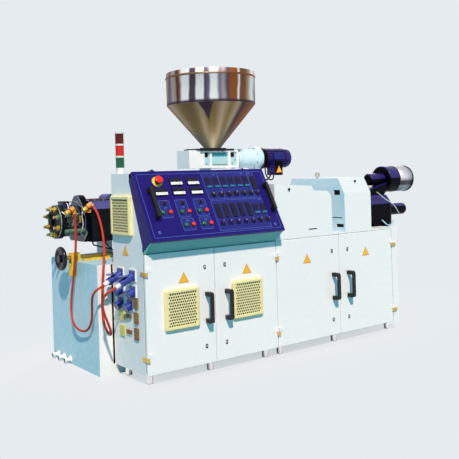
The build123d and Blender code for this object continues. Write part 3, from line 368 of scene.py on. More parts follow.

# %% [markdown]
# ## Finishes on the CAD nodes
# The imported nodes keep their own shapes. Each only needs its finish, so one table
# gives every node a material. Some nodes have a second finish on part of their faces,
# such as the near black that is painted shade on the sides and undersides of the motors.

# %% Dress the CAD nodes
node_finishes = [
    (white_paint, "cabinet_floors cabinet_backs cabinet_top door_posts deck corner_post door_1 door_2 door_3"
                  " door_4 gearbox_hood gearbox_case coupling_guard feeder_coupling feeder_housing"),
    (side_paint, "cabinet_sides barrel_supports"),
    (base_shade_paint, "left_base"),
    (indigo_paint, "console_lid console_sides"),
    (motor_paint, "motor_blower feeder_motor main_motor tacho_generator barrel_collar"),
    (underside_shade_teal, "console_underside"),
    (shroud_paint, "barrel_shroud slide_gate"),
    (black_plastic, "door_handle_1 door_handle_2 door_handle_3 door_handle_4 console_handles console_controls"
                    " console_instruments"),
    (wheel_paint, "handwheel"),
    (cream_plastic, "door_grille_1 door_grille_2 side_grille"),
    (brass, "door_hinges flange_studs adjusting_screw heater_bands"),
    (yellow_paint, "screw_bracket"),
    (stainless, "hopper blower_filter lifting_eye"),
    (machined, "drive_shaft lid_hinges"),
    (foot_metal, "levelling_feet"),
    (dark_steel, "barrel_head barrel_pipes"),
    (blue_plastic, "socket_bank socket_plugs"),
    (orange_plastic, "heater_connectors"),
    (green_plastic, "side_connectors"),
    (red_plastic, "signal_tower"),
]
for finish, names in node_finishes:
    for name in names.split():
        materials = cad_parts[name].data.materials
        materials.clear()
        materials.append(finish)


def repaint(name, finish, chosen):
    """Gives a second finish to the faces of a node whose place and normal are chosen."""
    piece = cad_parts[name]
    piece.data.materials.append(finish)
    for polygon in piece.data.polygons:
        centre = piece.matrix_world @ polygon.center / mm
        normal = (piece.matrix_world.to_3x3() @ polygon.normal).normalized()
        if chosen(centre, normal):
            polygon.material_index = len(piece.data.materials) - 1


socket_frame_x = -1165
plug_tilt = radians(26)
plug_seats = {"heater_cord_1": (-1152, -545, 690), "heater_cord_2": (-1152, -705, 690)}
first_plug = Vector(plug_seats["heater_cord_1"])
plug_sleeve = 117
# the left base's front keeps the white paint; its other faces carry the pale blue painted shade
repaint("left_base", white_paint, lambda centre, normal: normal.y < -0.9)
repaint("coupling_guard", shade_paint, lambda centre, normal: normal.x < -0.9)
# painted shade on the guard's slope, darker than its front
repaint("coupling_guard", guard_slope_shade, lambda centre, normal: normal.y < -0.2 and normal.z > 0.2)
repaint("barrel_pipes", pale_green, lambda centre, normal: centre.z > 915)
# near black painted as shade on the motors' faces that look sideways and down; their tops keep the indigo
repaint("main_motor", black_shade_paint, lambda centre, normal: normal.z < 0.2)
repaint("motor_blower", black_shade_paint, lambda centre, normal: normal.z < 0.1)
repaint("tacho_generator", black_shade_paint, lambda centre, normal: normal.z < 0.5)
repaint("socket_bank", white_paint, lambda centre, normal: centre.x > socket_frame_x)
repaint("socket_plugs", white_paint, lambda centre, normal: (
    (first_plug.x - centre.x) * cos(plug_tilt) + (first_plug.z - centre.z) * sin(plug_tilt) > plug_sleeve))
repaint("side_connectors", brown_plastic, lambda centre, normal: centre.y < -700 or -680 < centre.y < -600)

# %% [markdown]
# ## Heater cords
# Two red cords leave the heaters at the barrel, hang in loops in front of the left
# base and come up to the blue plugs in the side panel. Each is a smooth curve over
# given points, with a round bevel for its jacket.

# %% Route and make the cords
cord_diameter = 16 * mm
cord_routes = {
    "heater_cord_1": [(-1306, -170, 1076), (-1302, -170, 1010), (-1303, -176, 940), (-1305, -172, 840),
                      (-1307, -154, 740), (-1307, -126, 640), (-1307, -98, 550), (-1309, -80, 465),
                      (-1313, -84, 390), (-1318, -118, 325), (-1314, -180, 287), (-1307, -250, 280),
                      (-1306, -320, 298), (-1308, -375, 340), (-1314, -415, 395), (-1324, -440, 450),
                      (-1336, -465, 495), (-1347, -492, 533), (-1352, -518, 568), (-1341, -537, 596)],
    "heater_cord_2": [(-1168, -172, 1122), (-1152, -192, 1094), (-1152, -232, 1042), (-1158, -280, 978),
                      (-1176, -338, 910), (-1202, -398, 840), (-1230, -442, 765), (-1252, -466, 680),
                      (-1262, -474, 590), (-1268, -476, 500), (-1272, -486, 415), (-1271, -512, 350),
                      (-1269, -554, 312), (-1274, -598, 306), (-1287, -630, 338), (-1307, -636, 388),
                      (-1328, -636, 440), (-1345, -640, 490), (-1354, -650, 532), (-1355, -672, 568),
                      (-1341, -692, 596)],
}
plug_reach = 148
plug_lead = 26


def plug_ends(seat):
    """The last two points of a cord, where it turns into its plug."""
    x, y, z = seat
    reaches = (plug_reach + plug_lead, plug_reach)
    return [(x - reach * cos(plug_tilt), y, z - reach * sin(plug_tilt)) for reach in reaches]


def lay_cord(name, points):
    """A round cord over its route, standing for its CAD tube."""
    curve = bpy.data.curves.new(name + "_jacket", "CURVE")
    curve.dimensions = "3D"
    curve.bevel_depth = cord_diameter / 2
    curve.bevel_resolution = 4
    curve.use_fill_caps = True
    spline = curve.splines.new("NURBS")
    spline.points.add(len(points) - 1)
    for point, place in zip(spline.points, points):
        point.co = (*(value * mm for value in place), 1)
    spline.order_u = 3
    spline.use_endpoint_u = True
    spline.resolution_u = 10
    piece = bpy.data.objects.new(name + "_jacket", curve)
    bpy.context.scene.collection.objects.link(piece)
    curve.materials.append(cord_rubber)
    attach(piece, "frame")
    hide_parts(name)


for cord_name, route in cord_routes.items():
    lay_cord(cord_name, route + plug_ends(plug_seats[cord_name]))

# %% [markdown]
# ## A small workshop for mesh pieces
# The details are made in code from a few shapes that a workshop also knows: a block,
# a turned part, a profile cut from plate, and a bent tube. A Shape collects them with
# a finish each, and becomes one object at the end, so a panel of forty buttons is
# still one piece. Points are given in millimetres in the Shape's own frame, or in the
# frame that a single part names.


# %% Frames, outlines and rows of faces
def local_frame(origin, x_dir, z_dir):
    """A frame at a point given in millimetres, with its X and Z directions."""
    z = Vector(z_dir).normalized()
    x = Vector(x_dir).normalized()
    return Matrix.Translation(Vector(origin) * mm) @ Matrix((x, z.cross(x), z)).transposed().to_4x4()


def front_seat(x, y, z):
    """A frame on a face that looks to the front."""
    return local_frame((x, y, z), (1, 0, 0), (0, -1, 0))


def side_seat(x, y, z):
    """A frame on a face that looks to the left."""
    return local_frame((x, y, z), (0, -1, 0), (-1, 0, 0))


def along_x(y, z):
    """A frame whose Z axis runs along the machine."""
    return local_frame((0, y, z), (0, 1, 0), (1, 0, 0))


def moved(frame_matrix, x=0.0, y=0.0, z=0.0):
    """The same frame, moved in its own directions by millimetres."""
    return frame_matrix @ Matrix.Translation(Vector((x, y, z)) * mm)


def circle(radius, count, start=0.0):
    """Points spaced evenly round a circle."""
    return [(radius * cos(start + 2 * pi * step / count), radius * sin(start + 2 * pi * step / count))
            for step in range(count)]


def rounded(width, height, radius, steps=4, centre=(0, 0)):
    """The outline of a rectangle with rounded corners."""
    outline = []
    for corner, (sx, sy) in enumerate(((1, 1), (-1, 1), (-1, -1), (1, -1))):
        for step in range(steps + 1):
            angle = pi / 2 * (corner + step / steps)
            outline.append((centre[0] + sx * (width / 2 - radius) + radius * cos(angle),
                            centre[1] + sy * (height / 2 - radius) + radius * sin(angle)))
    return outline


def belts(rings, count, closed=False):
    """Faces from each ring of points to the next, and from the last to the first where closed."""
    faces = []
    for ring in range(rings if closed else rings - 1):
        low = ring * count
        high = (ring + 1) % rings * count
        faces += [(low + step, low + (step + 1) % count, high + (step + 1) % count, high + step)
                  for step in range(count)]
    return faces


# %% The Shape collector
class Shape:
    """Collects the faces of one piece and their finishes."""

    def __init__(self, at):
        self.at = at
        self.finishes = []
        self.points = []
        self.faces = []
        self.face_finish = []
        self.face_smooth = []

    def add(self, points, faces, finish, at=None, smooth=False):
        place = self.at if at is None else at
        if finish not in self.finishes:
            self.finishes.append(finish)
        first = len(self.points)
        self.points += [place @ (Vector(point) * mm) for point in points]
        self.faces += [[first + index for index in face] for face in faces]
        self.face_finish += [self.finishes.index(finish)] * len(faces)
        self.face_smooth += [smooth] * len(faces)

    def block(self, low, high, finish, at=None):
        """A rectangular block between two corners."""
        points = [(x, y, z) for z in (low[2], high[2]) for y in (low[1], high[1]) for x in (low[0], high[0])]
        faces = [(0, 2, 3, 1), (4, 5, 7, 6), (0, 1, 5, 4), (1, 3, 7, 5), (3, 2, 6, 7), (2, 0, 4, 6)]
        self.add(points, faces, finish, at)

    def turned(self, profile, finish, at=None, segments=24, caps=True):
        """A part turned about the local Z axis from (radius, height) points."""
        points = [(x, y, height) for radius, height in profile for x, y in circle(radius, segments)]
        self.add(points, belts(len(profile), segments), finish, at, smooth=True)
        if caps and profile[0][0] > 0:
            self.add(points[:segments], [range(segments)[::-1]], finish, at)
        if caps and profile[-1][0] > 0:
            self.add(points[-segments:], [range(segments)], finish, at)

    def plate(self, outline, bottom, top, finish, at=None):
        """A profile in the local XY plane, cut from plate between two heights."""
        count = len(outline)
        points = [(x, y, z) for z in (bottom, top) for x, y in outline]
        self.add(points, [range(count)[::-1], range(count, 2 * count)] + belts(2, count), finish, at)

    def ring(self, outer, inner, bottom, top, finish, at=None):
        """A flat frame between two outlines of as many points."""
        sides = ((outer, bottom), (outer, top), (inner, top), (inner, bottom))
        points = [(x, y, z) for outline, z in sides for x, y in outline]
        self.add(points, belts(4, len(outer), closed=True), finish, at)

    def tube(self, route, radius, finish, at=None, sides=8, steps=5):
        """A round bar bent smoothly through points."""
        ends = [Vector(point) for point in [route[0], *route, route[-1]]]
        line = []
        for before, start, end, after in zip(ends, ends[1:], ends[2:], ends[3:]):
            for step in range(steps):
                t = step / steps
                bend = 2 * before - 5 * start + 4 * end - after
                twist = 3 * start - 3 * end + after - before
                line.append(0.5 * (2 * start + (end - before) * t + bend * t * t + twist * t ** 3))
        line.append(ends[-1])
        side = Vector((0.31, 0.72, 0.62))
        points = []
        for index, place in enumerate(line):
            along = line[min(index + 1, len(line) - 1)] - line[max(index - 1, 0)]
            side = (side - side.project(along)).normalized()
            other = along.normalized().cross(side)
            points += [place + radius * (x * side + y * other) for x, y in circle(1, sides)]
        faces = [range(sides), range(len(points) - sides, len(points))] + belts(len(line), sides)
        self.add(points, faces, finish, at, smooth=True)

    def piece(self, name, body, slot, replaces=(), bevel=0.0):
        """Makes the object, its edges softened by a bevel in millimetres, and lets it ride on its body."""
        mesh = bpy.data.meshes.new(name)
        mesh.from_pydata(self.points, [], self.faces)
        for finish in self.finishes:
            mesh.materials.append(finish)
        mesh.polygons.foreach_set("material_index", self.face_finish)
        mesh.polygons.foreach_set("use_smooth", self.face_smooth)
        mesh.update()
        made = bpy.data.objects.new(name, mesh)
        bpy.context.scene.collection.objects.link(made)
        if bevel:
            modifier = made.modifiers.new("soft_edges", "BEVEL")
            modifier.width = bevel * mm
            modifier.segments = 2
            modifier.limit_method = "ANGLE"
            modifier.angle_limit = radians(35)
        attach(made, body)
        if replaces:
            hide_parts(*replaces)
        print(name, "faces", len(self.faces))


# %% [markdown]
# ## Operator's console
# The console lid slopes up to its hinges. Its own frame starts at the lower left
# corner, with u along the machine and v up the slope, so every instrument is placed
# as on the panel builder's drawing. Printed lines and group fields are thin raised
# layers, because a layer of ink or film stands just above the paint.

# %% The console's frame and colours
cabinet_left = -1158
cabinet_right = -80
door_plane = -858
console_front = -963
console_low = 917
lid_top_y = -721
lid_top_z = 1353
lid_length = hypot(lid_top_y - console_front, lid_top_z - console_low)
slope_y = (lid_top_y - console_front) / lid_length
slope_z = (lid_top_z - console_low) / lid_length
lid_width = cabinet_right - cabinet_left
lid_frame = local_frame((cabinet_left, console_front, console_low), (1, 0, 0), (0, -slope_z, slope_y))

ink_blue = paint("ink_blue", (0.07, 0.12, 0.40), (0.05, 0.09, 0.32), roughness=0.4, peel=0.05, gloss=0.2)
field_blue = paint("field_blue", (0.018, 0.020, 0.19), (0.014, 0.014, 0.15), roughness=0.35, peel=0.05,
                   gloss=0.2)
display_teal = paint("display_teal", (0.015, 0.18, 0.30), (0.01, 0.12, 0.22), roughness=0.25, peel=0.03,
                     gloss=0.2)
dial_white = paint("dial_white", (0.82, 0.82, 0.76), (0.7, 0.7, 0.66), roughness=0.3, peel=0.03)
green_button = paint("green_button", (0.008, 0.13, 0.06), (0.006, 0.09, 0.05), roughness=0.2, gloss=0.35)
red_button = paint("red_button", (0.80, 0.022, 0.018), (0.6, 0.012, 0.012), roughness=0.2, gloss=0.35)
plum_plastic = paint("plum_plastic", (0.018, 0.008, 0.075), (0.014, 0.006, 0.05), roughness=0.3, gloss=0.2)
dark_glass = paint("dark_glass", (0.006, 0.005, 0.025), (0.010, 0.008, 0.03), roughness=0.12, gloss=0.25)

# %% Printed fields and lines
film = 0.5
line_width = 3.0
line_height = 0.9
print_base = 0.05


def printed_box(shape, low, high, radius, field=True):
    """A group's field with the line round it."""
    width = high[0] - low[0]
    height = high[1] - low[1]
    centre = ((low[0] + high[0]) / 2, (low[1] + high[1]) / 2)
    outer = rounded(width, height, radius, centre=centre)
    inner = rounded(width - 2 * line_width, height - 2 * line_width, radius - line_width + 0.5, centre=centre)
    if field:
        shape.plate(outer, print_base, film, field_blue)
    shape.ring(outer, inner, print_base, line_height, ink_blue)


legends = Shape(lid_frame)
border_inset = 22
printed_box(legends, (border_inset, border_inset), (lid_width - border_inset, lid_length - border_inset),
            10, field=False)
motor_fields = [((124, 155), (205, 282)), ((248, 153), (338, 282)), ((391, 153), (487, 282)),
                ((250, 58), (346, 146)), ((391, 57), (483, 146))]
for low, high in motor_fields:
    printed_box(legends, low, high, 10)
heater_field = ((524, 268), (972, 478))
drive_field = ((527, 34), (972, 262))
printed_box(legends, *heater_field, 6)
printed_box(legends, *drive_field, 6)
for divider_u in (657, 918):
    legends.block((divider_u, 272, film), (divider_u + line_width, 474, line_height), ink_blue)
for label in ((168, 228), (301, 226), (444, 226), (301, 128), (442, 128), (630, 462), (868, 462), (936, 462),
              (948, 252)):
    legends.plate(rounded(22, 7, 2, centre=label), film, line_height, ink_blue)
for lock_u, lock_v in ((68, 59), (1009, 51)):
    lock = moved(lid_frame, lock_u, lock_v)
    legends.turned([(11, print_base), (11, 2), (9, 3), (0, 3)], ink_blue, lock)
    legends.block((-6, -1.2, 3), (6, 1.2, 3.6), field_blue, lock)
legends.piece("console_legends", "console_lid", "blue_paint")

# %% Meters, temperature controllers and drive instruments
controller_pitch = 65
first_controller = 562
first_tall = 566
instruments = Shape(lid_frame)


def readout(u, v, keys_y):
    """A temperature controller or a display: frame, dark window and a lit strip of keys."""
    place = moved(lid_frame, u, v)
    instruments.plate(rounded(46, 84, 3), film, 5, plum_plastic, place)
    instruments.plate(rounded(38, 44, 2, centre=(0, 14)), 5, 5.8, dark_glass, place)
    instruments.plate(rounded(42, 13, 2, centre=(0, keys_y)), 5, 6.6, display_teal, place)


for meter_u, meter_v in ((304, 412), (438, 411), (168, 340), (303, 340), (443, 339)):
    meter = moved(lid_frame, meter_u, meter_v)
    instruments.plate(rounded(94, 54, 3), 0.1, 9, black_plastic, meter)
    instruments.plate(rounded(86, 22, 2, centre=(0, 12)), 9, 11, dark_glass, meter)
    instruments.plate(rounded(88, 20, 2, centre=(0, -13)), 9, 10.5, dial_white, meter)
    for tick in range(-34, 31, 8):
        instruments.block((tick, -10, 10.5), (tick + 1, -6, 10.8), black_plastic, meter)
    instruments.block((18, -18, 10.5), (30, -15, 10.9), red_button, meter)
for column in range(6):
    readout(first_controller + column * controller_pitch, 398, -32)
for display_u in (890, 955):
    readout(display_u, 178, -27)
tall_columns = [(first_tall + column * controller_pitch, 130, 232) for column in range(5)]
for tall_u, low_v, high_v in [(952, 337, 436)] + tall_columns:
    tall = moved(lid_frame, tall_u, (low_v + high_v) / 2)
    instruments.plate(rounded(38, high_v - low_v, 3), film, 8, black_plastic, tall)
    instruments.plate(rounded(28, high_v - low_v - 30, 2, centre=(0, 8)), 8, 9, dark_glass, tall)
    keys_y = (low_v - high_v) / 2 + 10
    for key in (-8, 8):
        instruments.plate(rounded(9, 7, 2, centre=(key, keys_y)), 8, 9.5, plum_plastic, tall)
instruments.piece("console_meters", "console_lid", "black_plastic", replaces=["console_instruments"],
                  bevel=0.6)

# %% [markdown]
# ## Buttons, selectors, knobs and the emergency stop
# A lit button is a low black collar with a domed cap. A selector has a short bar
# across its cap, and a potentiometer knob has a skirt and a pointer line. The
# emergency stop is the one control that stands far out, a red mushroom over a round
# yellow plate, so that a hand finds it without looking.

# %% Make the controls
controls = Shape(lid_frame)


def push_button(u, v, cap):
    """A collar with a domed cap."""
    place = moved(lid_frame, u, v)
    controls.turned([(17, 0.1), (17, 4), (15.5, 6), (14, 6)], black_plastic, place)
    controls.turned([(14, 5), (14, 12), (12.5, 14.5), (7, 16.5), (0, 17)], cap, place)


def knob(u, v, finish, turn_deg):
    """A skirted knob with a pointer line."""
    place = moved(lid_frame, u, v)
    controls.turned([(19, 0.4), (18, 3), (14.5, 6), (14, 19), (12.5, 21), (0, 21)], finish, place,
                    segments=28)
    pointing = place @ Matrix.Rotation(radians(turn_deg), 4, "Z")
    controls.block((-0.9, 3, 21), (0.9, 13, 21.5), dial_white, pointing)


for pair_u, pair_v, gap in ((135, 193, 57), (276, 191, 57), (415, 191, 56), (277, 97, 57), (416, 97, 57)):
    push_button(pair_u, pair_v, green_button)
    push_button(pair_u + gap, pair_v, red_button)
for selector_u, selector_v in ((163, 259), (301, 256), (442, 255)):
    selector = moved(lid_frame, selector_u, selector_v)
    controls.turned([(14, 0.4), (14, 4), (12, 6), (0, 6)], black_plastic, selector)
    controls.turned([(11, 5), (11, 12), (9.5, 13), (0, 13)], black_plastic, selector)
    turned_bar = selector @ Matrix.Rotation(radians(28), 4, "Z")
    controls.block((-3.5, -11, 12), (3.5, 11, 20), black_plastic, turned_bar)
    controls.block((-1, 3, 20), (1, 10, 20.5), red_button, turned_bar)
black_knobs = [(570 + column * controller_pitch, 304) for column in range(6)] + [(890, 92), (955, 92)]
plum_knobs = [(952, 301)] + [(first_tall + column * controller_pitch, 90) for column in range(5)]
for index, (knob_u, knob_v) in enumerate(black_knobs):
    knob(knob_u, knob_v, black_plastic, 40 - 13 * index)
for index, (knob_u, knob_v) in enumerate(plum_knobs):
    knob(knob_u, knob_v, plum_plastic, -20 + 9 * index)
stop = moved(lid_frame, 165, 418)
controls.turned([(38, 0.1), (38, 2.5), (0, 2.5)], yellow_paint, stop, segments=36)
controls.turned([(20, 2.5), (20, 12), (14, 15), (14, 24)], black_plastic, stop, segments=32)
controls.turned([(17, 23), (27, 25), (29, 29), (28.5, 34), (25, 38.5), (17, 41.5), (8, 42.5), (0, 42.8)],
                red_button, stop, segments=36)
controls.piece("console_buttons", "console_lid", "black_plastic", replaces=["console_controls"])

# %% [markdown]
# ## Warning triangles and door locks
# Each door and the side panel carry a yellow triangle. It stays bare here: a darker
# border of the same shape lies under a yellow field. The doors close with quarter-turn
# locks, which are small dark ovals near their free edges.

# %% Make the triangles
sign_amber = paint("sign_amber", (0.75, 0.22, 0.02), (0.6, 0.18, 0.02), roughness=0.35, peel=0.05)
sign_yellow = paint("sign_yellow", (0.95, 0.50, 0.02), (0.85, 0.42, 0.02), roughness=0.3, peel=0.05)


def triangle(shape, half, height, inset, at=None):
    """A yellow field over the amber border of a triangle."""
    border = [(-half, 0), (half, 0), (0, height)]
    side = half - inset * 1.75
    field = [(-side, inset), (side, inset), (0, height - inset * height / half * 1.1)]
    shape.plate(border, 0.1, 0.8, sign_amber, at)
    shape.plate(field, 0.8, 1.2, sign_yellow, at)


def sign(name, place, body):
    """A bare warning triangle, flat on its panel."""
    shape = Shape(place)
    triangle(shape, 40, 70, 4.5)
    shape.piece(name, body, "yellow_paint")


door_signs = {"door_1": (-873, 625), "door_2": (-353, 630), "door_3": (218, 644), "door_4": (854, 643)}
for door_name, (sign_x, sign_z) in door_signs.items():
    sign("sign_" + door_name, front_seat(sign_x, door_plane, sign_z), door_name)
sign("sign_side", side_seat(cabinet_left, -612, 809), "frame")

# %% Make the door locks
lock_places = {"door_1": -706, "door_2": -541, "door_3": 478, "door_4": 647}
for door_name, lock_x in lock_places.items():
    locks = Shape(front_seat(lock_x, door_plane, 0))
    for lock_z in (188, 711):
        seat = front_seat(lock_x, door_plane, lock_z)
        locks.plate(rounded(20, 30, 9.5, steps=6), 0.1, 2, black_plastic, seat)
        locks.turned([(8, 2), (8, 4), (6.5, 5), (0, 5)], machined, seat, segments=20)
        locks.block((-1.3, -5, 5), (1.3, 5, 5.4), black_plastic, seat)
    locks.piece("locks_" + door_name, door_name, "black_plastic", bevel=0.4)

# %% [markdown]
# ## Filter grilles
# The cabinet breathes through three cream covers. Each has a frame and a face with
# staggered round holes over a dark filter. The holes are real: each cell of the face
# is a ring of small faces round an opening, with a short wall behind it. A Boolean
# cut of a hundred holes would be slower and less tidy.

# %% Make the grilles
grille_size = 262
grille_depth = 26
grille_rim = 22
punched_size = grille_size - 2 * grille_rim
punched_top = grille_depth - 5
hole_columns = 12
hole_rows = 12
hole_sides = 12
hole_wall = 1.5
cell_w = punched_size / (hole_columns + 0.5)
cell_h = punched_size / hole_rows


def punched_face(shape, hole_radius):
    """A face with staggered round holes, one cell after another."""
    half = punched_size / 2
    for hole_row in range(hole_rows):
        low = -half + hole_row * cell_h
        shift = 0.5 * cell_w * (hole_row % 2)
        start = -half if shift else half - cell_w / 2
        end = start + cell_w / 2
        shape.add([(start, low, punched_top), (end, low, punched_top), (end, low + cell_h, punched_top),
                   (start, low + cell_h, punched_top)], [(0, 1, 2, 3)], cream_plastic)
        for column in range(hole_columns):
            punched_cell(shape, -half + shift + (column + 0.5) * cell_w, low + cell_h / 2, hole_radius)


def punched_cell(shape, x, y, hole_radius):
    """One cell: the flat from the cell's edge to the hole, and the hole's wall."""
    hole = circle(hole_radius, hole_sides, start=pi / hole_sides)
    edge = []
    for hole_x, hole_y in hole:
        reach = min(cell_w / 2 / abs(hole_x), cell_h / 2 / abs(hole_y))
        edge.append((reach * hole_x, reach * hole_y))
    rings = ((edge, punched_top), (hole, punched_top), (hole, punched_top - hole_wall))
    points = [(x + ring_x, y + ring_y, z) for ring, z in rings for ring_x, ring_y in ring]
    faces = belts(3, hole_sides)
    for corner, (side_x, side_y) in enumerate(((1, 1), (-1, 1), (-1, -1), (1, -1))):
        before = corner * hole_sides // 4 + hole_sides // 8
        points.append((x + side_x * cell_w / 2, y + side_y * cell_h / 2, punched_top))
        faces.append((before, 3 * hole_sides + corner, (before + 1) % hole_sides))
    shape.add(points, faces, cream_plastic)


def grille(name, replaced, body, seat, hole_radius=6.4):
    """A cream filter cover that stands for its CAD node."""
    shape = Shape(seat)
    outer = rounded(grille_size, grille_size, 14)
    front = rounded(grille_size - 16, grille_size - 16, 10)
    inner = rounded(punched_size, punched_size, 2)
    rings = [(outer, 0.1), (outer, grille_depth - 8), (front, grille_depth - 1), (front, grille_depth),
             (inner, grille_depth), (inner, punched_top)]
    points = [(x, y, z) for outline, z in rings for x, y in outline]
    shape.add(points, belts(len(rings), len(outer)), cream_plastic)
    punched_face(shape, hole_radius)
    half = punched_size / 2
    shape.block((-half, -half, punched_top - 7), (half, half, punched_top - 5), filter_dark)
    shape.piece(name, body, "cream_plastic", replaces=[replaced])


door_grille_z = 463
grille("filter_cover_1", "door_grille_1", "door_1", front_seat(cabinet_left + 260, door_plane, door_grille_z))
grille("filter_cover_2", "door_grille_2", "door_2", front_seat(cabinet_left + 798, door_plane, door_grille_z))
grille("filter_cover_side", "side_grille", "frame", side_seat(cabinet_left, door_plane + 268, 1069),
       hole_radius=7.6)

# %% [markdown]
# ## Hopper
# The hopper is rolled from thin stainless sheet: a cylinder with a rolled bead below
# its lip, welded to a cone. It is turned here with many more sides than the CAD solid,
# so that the long reflections run smoothly down it. They are painted in: bands of the
# hall's windows and machines round the drum and the cone, from one colour ramp each.

# %% A polished sheet that mirrors the hall
olive = (0.19, 0.145, 0.065)
sand = (0.36, 0.29, 0.20)
window = (0.80, 0.85, 0.86)
silver = (0.38, 0.36, 0.38)
dusk = (0.090, 0.070, 0.095)
bark = (0.15, 0.115, 0.055)
plum = (0.17, 0.16, 0.24)
rust = (0.19, 0.085, 0.045)
copper = (0.27, 0.095, 0.03)
night = (0.05, 0.035, 0.055)
foot_tone = (0.15, 0.155, 0.12)
drum_bands = [(0.00, rust), (0.03, sand), (0.055, dusk), (0.09, silver), (0.12, sand), (0.14, night),
              (0.17, copper), (0.20, window), (0.272, window), (0.288, dusk), (0.345, dusk), (0.362, window),
              (0.44, window), (0.455, dusk), (0.50, plum), (0.52, window), (0.58, window), (0.61, plum),
              (0.65, silver), (0.69, dusk), (0.73, copper), (0.79, copper), (0.81, window), (0.83, rust),
              (0.885, rust), (0.92, sand), (0.96, window), (1.00, dusk)]
cone_bands = [(0.00, rust), (0.05, sand), (0.14, olive), (0.24, bark), (0.30, olive), (0.38, sand),
              (0.46, olive), (0.57, olive), (0.66, sand), (0.74, olive), (0.82, sand), (0.87, night),
              (0.92, rust), (1.00, copper)]
rim_bands = [(0.0, rust), (0.3, olive), (0.5, sand), (0.7, rust), (1.0, copper)]


def mirror_sheet(knee, foot, top):
    """Polished stainless whose colour holds the hall's windows and machines as bands."""
    material, tree, surface = shader("mirror_sheet")
    place = object_place(tree)
    flat = node(tree, "VectorMath", {0: place, 1: (1, 1, 0)}, operation="MULTIPLY").outputs["Vector"]
    unit = node(tree, "VectorMath", {0: flat}, operation="NORMALIZE").outputs["Vector"]
    across = node(tree, "VectorMath", {0: unit, 1: (0.40, -0.30, 0)},
                  operation="DOT_PRODUCT").outputs["Value"]
    wobble = maths(tree, "MULTIPLY_ADD", noise(tree, 5.0, 2.0, place), 0.05, across)
    shift = maths(tree, "ADD", wobble, 0.475)
    height = node(tree, "SeparateXYZ", {0: place}).outputs["Z"]
    near_foot = between(tree, height, foot + 0.22, foot + 0.02)
    cone = mixed(tree, near_foot, ramp(tree, cone_bands, shift), rgba(foot_tone))
    wedge_side = maths(tree, "ABSOLUTE", maths(tree, "SUBTRACT", shift, 0.465))
    wedge_rise = maths(tree, "MULTIPLY_ADD", wedge_side, -1.6, height)
    cone = mixed(tree, between(tree, wedge_rise, knee - 0.16, knee - 0.12), cone, rgba(night))
    over_knee = between(tree, height, knee - 0.002, knee + 0.002)
    colour = mixed(tree, over_knee, cone, ramp(tree, drum_bands, shift))
    strip = maths(tree, "MULTIPLY", between(tree, height, knee + 0.030, knee + 0.006), over_knee)
    colour = mixed(tree, strip, colour, rgba(night))
    rim = maths(tree, "MULTIPLY", between(tree, height, top - 0.050, top - 0.048),
                between(tree, height, top - 0.032, top - 0.034))
    colour = mixed(tree, rim, colour, ramp(tree, rim_bands, shift))
    feed(tree, surface, {"Base Color": colour, "Metallic": 1.0, "Roughness": 0.58})
    return material


# %% Make the hopper
machine = Matrix.Identity(4)
hopper_low, hopper_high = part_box("hopper")
hopper_radius = hopper_high.x / mm - 8
hopper_top = hopper_high.z / mm
hopper_foot = hopper_low.z / mm
hopper_knee = 1887
outlet_radius = 60
foot_radius = outlet_radius + 32
sheet = 2
bead_z = hopper_top - 41
bead_radius = 7.5
bead = [(hopper_radius + bead_radius * cos(radians(step)), bead_z + bead_radius * sin(radians(step)))
        for step in range(-80, 81, 20)]
hopper = Shape(machine)
hopper.turned([(foot_radius, hopper_foot), (foot_radius, hopper_foot + 8),
               (outlet_radius + 7, hopper_foot + 8), (hopper_radius - 3, hopper_knee - 3),
               (hopper_radius, hopper_knee + 2)] + bead +
              [(hopper_radius, hopper_top - 1), (hopper_radius - 1, hopper_top),
               (hopper_radius - sheet, hopper_top - 1), (hopper_radius - sheet, hopper_knee + 2),
               (outlet_radius, hopper_foot + 4), (outlet_radius, hopper_foot), (foot_radius, hopper_foot)],
              mirror_sheet(hopper_knee * mm, hopper_low.z, hopper_high.z), segments=128, caps=False)
hopper.piece("hopper_shell", "frame", "stainless", replaces=["hopper"])

# %% [markdown]
# ## Barrel
# The barrel end is the busiest corner of the machine. Its flange has a dark face with
# nutted studs, the heater bands are steel with patches of stain and painted reflection,
# with gold clamps and a terminal box, and the collar behind them is rounded at its
# crown. Small leads run between them.

# %% Steel with stains and painted reflections in patches
stain_and_glint_bands = [(0.30, (0.02, 0.02, 0.10)), (0.40, (0.02, 0.03, 0.04)), (0.46, (0.30, 0.34, 0.33)),
               (0.51, (0.05, 0.12, 0.07)), (0.57, (0.02, 0.02, 0.03)), (0.64, (0.55, 0.58, 0.60)),
               (0.70, (0.14, 0.10, 0.03))]
stain_and_glint_steel, tree, surface = shader("stain_and_glint_steel")
stain_and_glint_colour = ramp(tree, stain_and_glint_bands, noise(tree, 17.0, 3.0, object_place(tree)))
feed(tree, surface, {"Base Color": stain_and_glint_colour, "Metallic": 0.9, "Roughness": 0.3})

# %% Flange face and nuts
barrel_axis = 1020
head_left = -1380
axis_frame = along_x(0, barrel_axis)
fittings = Shape(axis_frame)
fittings.turned([(58, head_left - 0.2), (58, head_left - 1.5), (111, head_left - 1.5), (111, head_left - 0.2),
                 (58, head_left - 0.2)], dark_steel, segments=48, caps=False)
fittings.turned([(111, head_left - 0.2), (111, head_left - 1.2), (118, head_left - 1.2),
                 (119.6, head_left + 1), (119.6, head_left + 5), (111, head_left - 0.2)], zinc,
                segments=48, caps=False)
for stud, (stud_x, stud_y) in enumerate(circle(96, 8, start=pi / 8)):
    seat = moved(axis_frame, stud_x, stud_y)
    fittings.turned([(22, head_left - 1.5), (22, head_left - 5), (10, head_left - 5)], dark_steel, seat)
    fittings.plate(circle(19, 6), head_left - 21, head_left - 5, gold if stud % 3 else pale_green, seat)
    fittings.turned([(0, head_left - 44.9), (10.4, head_left - 44.9), (10.6, head_left - 38),
                     (10, head_left - 37)], pale_green, seat, segments=12)

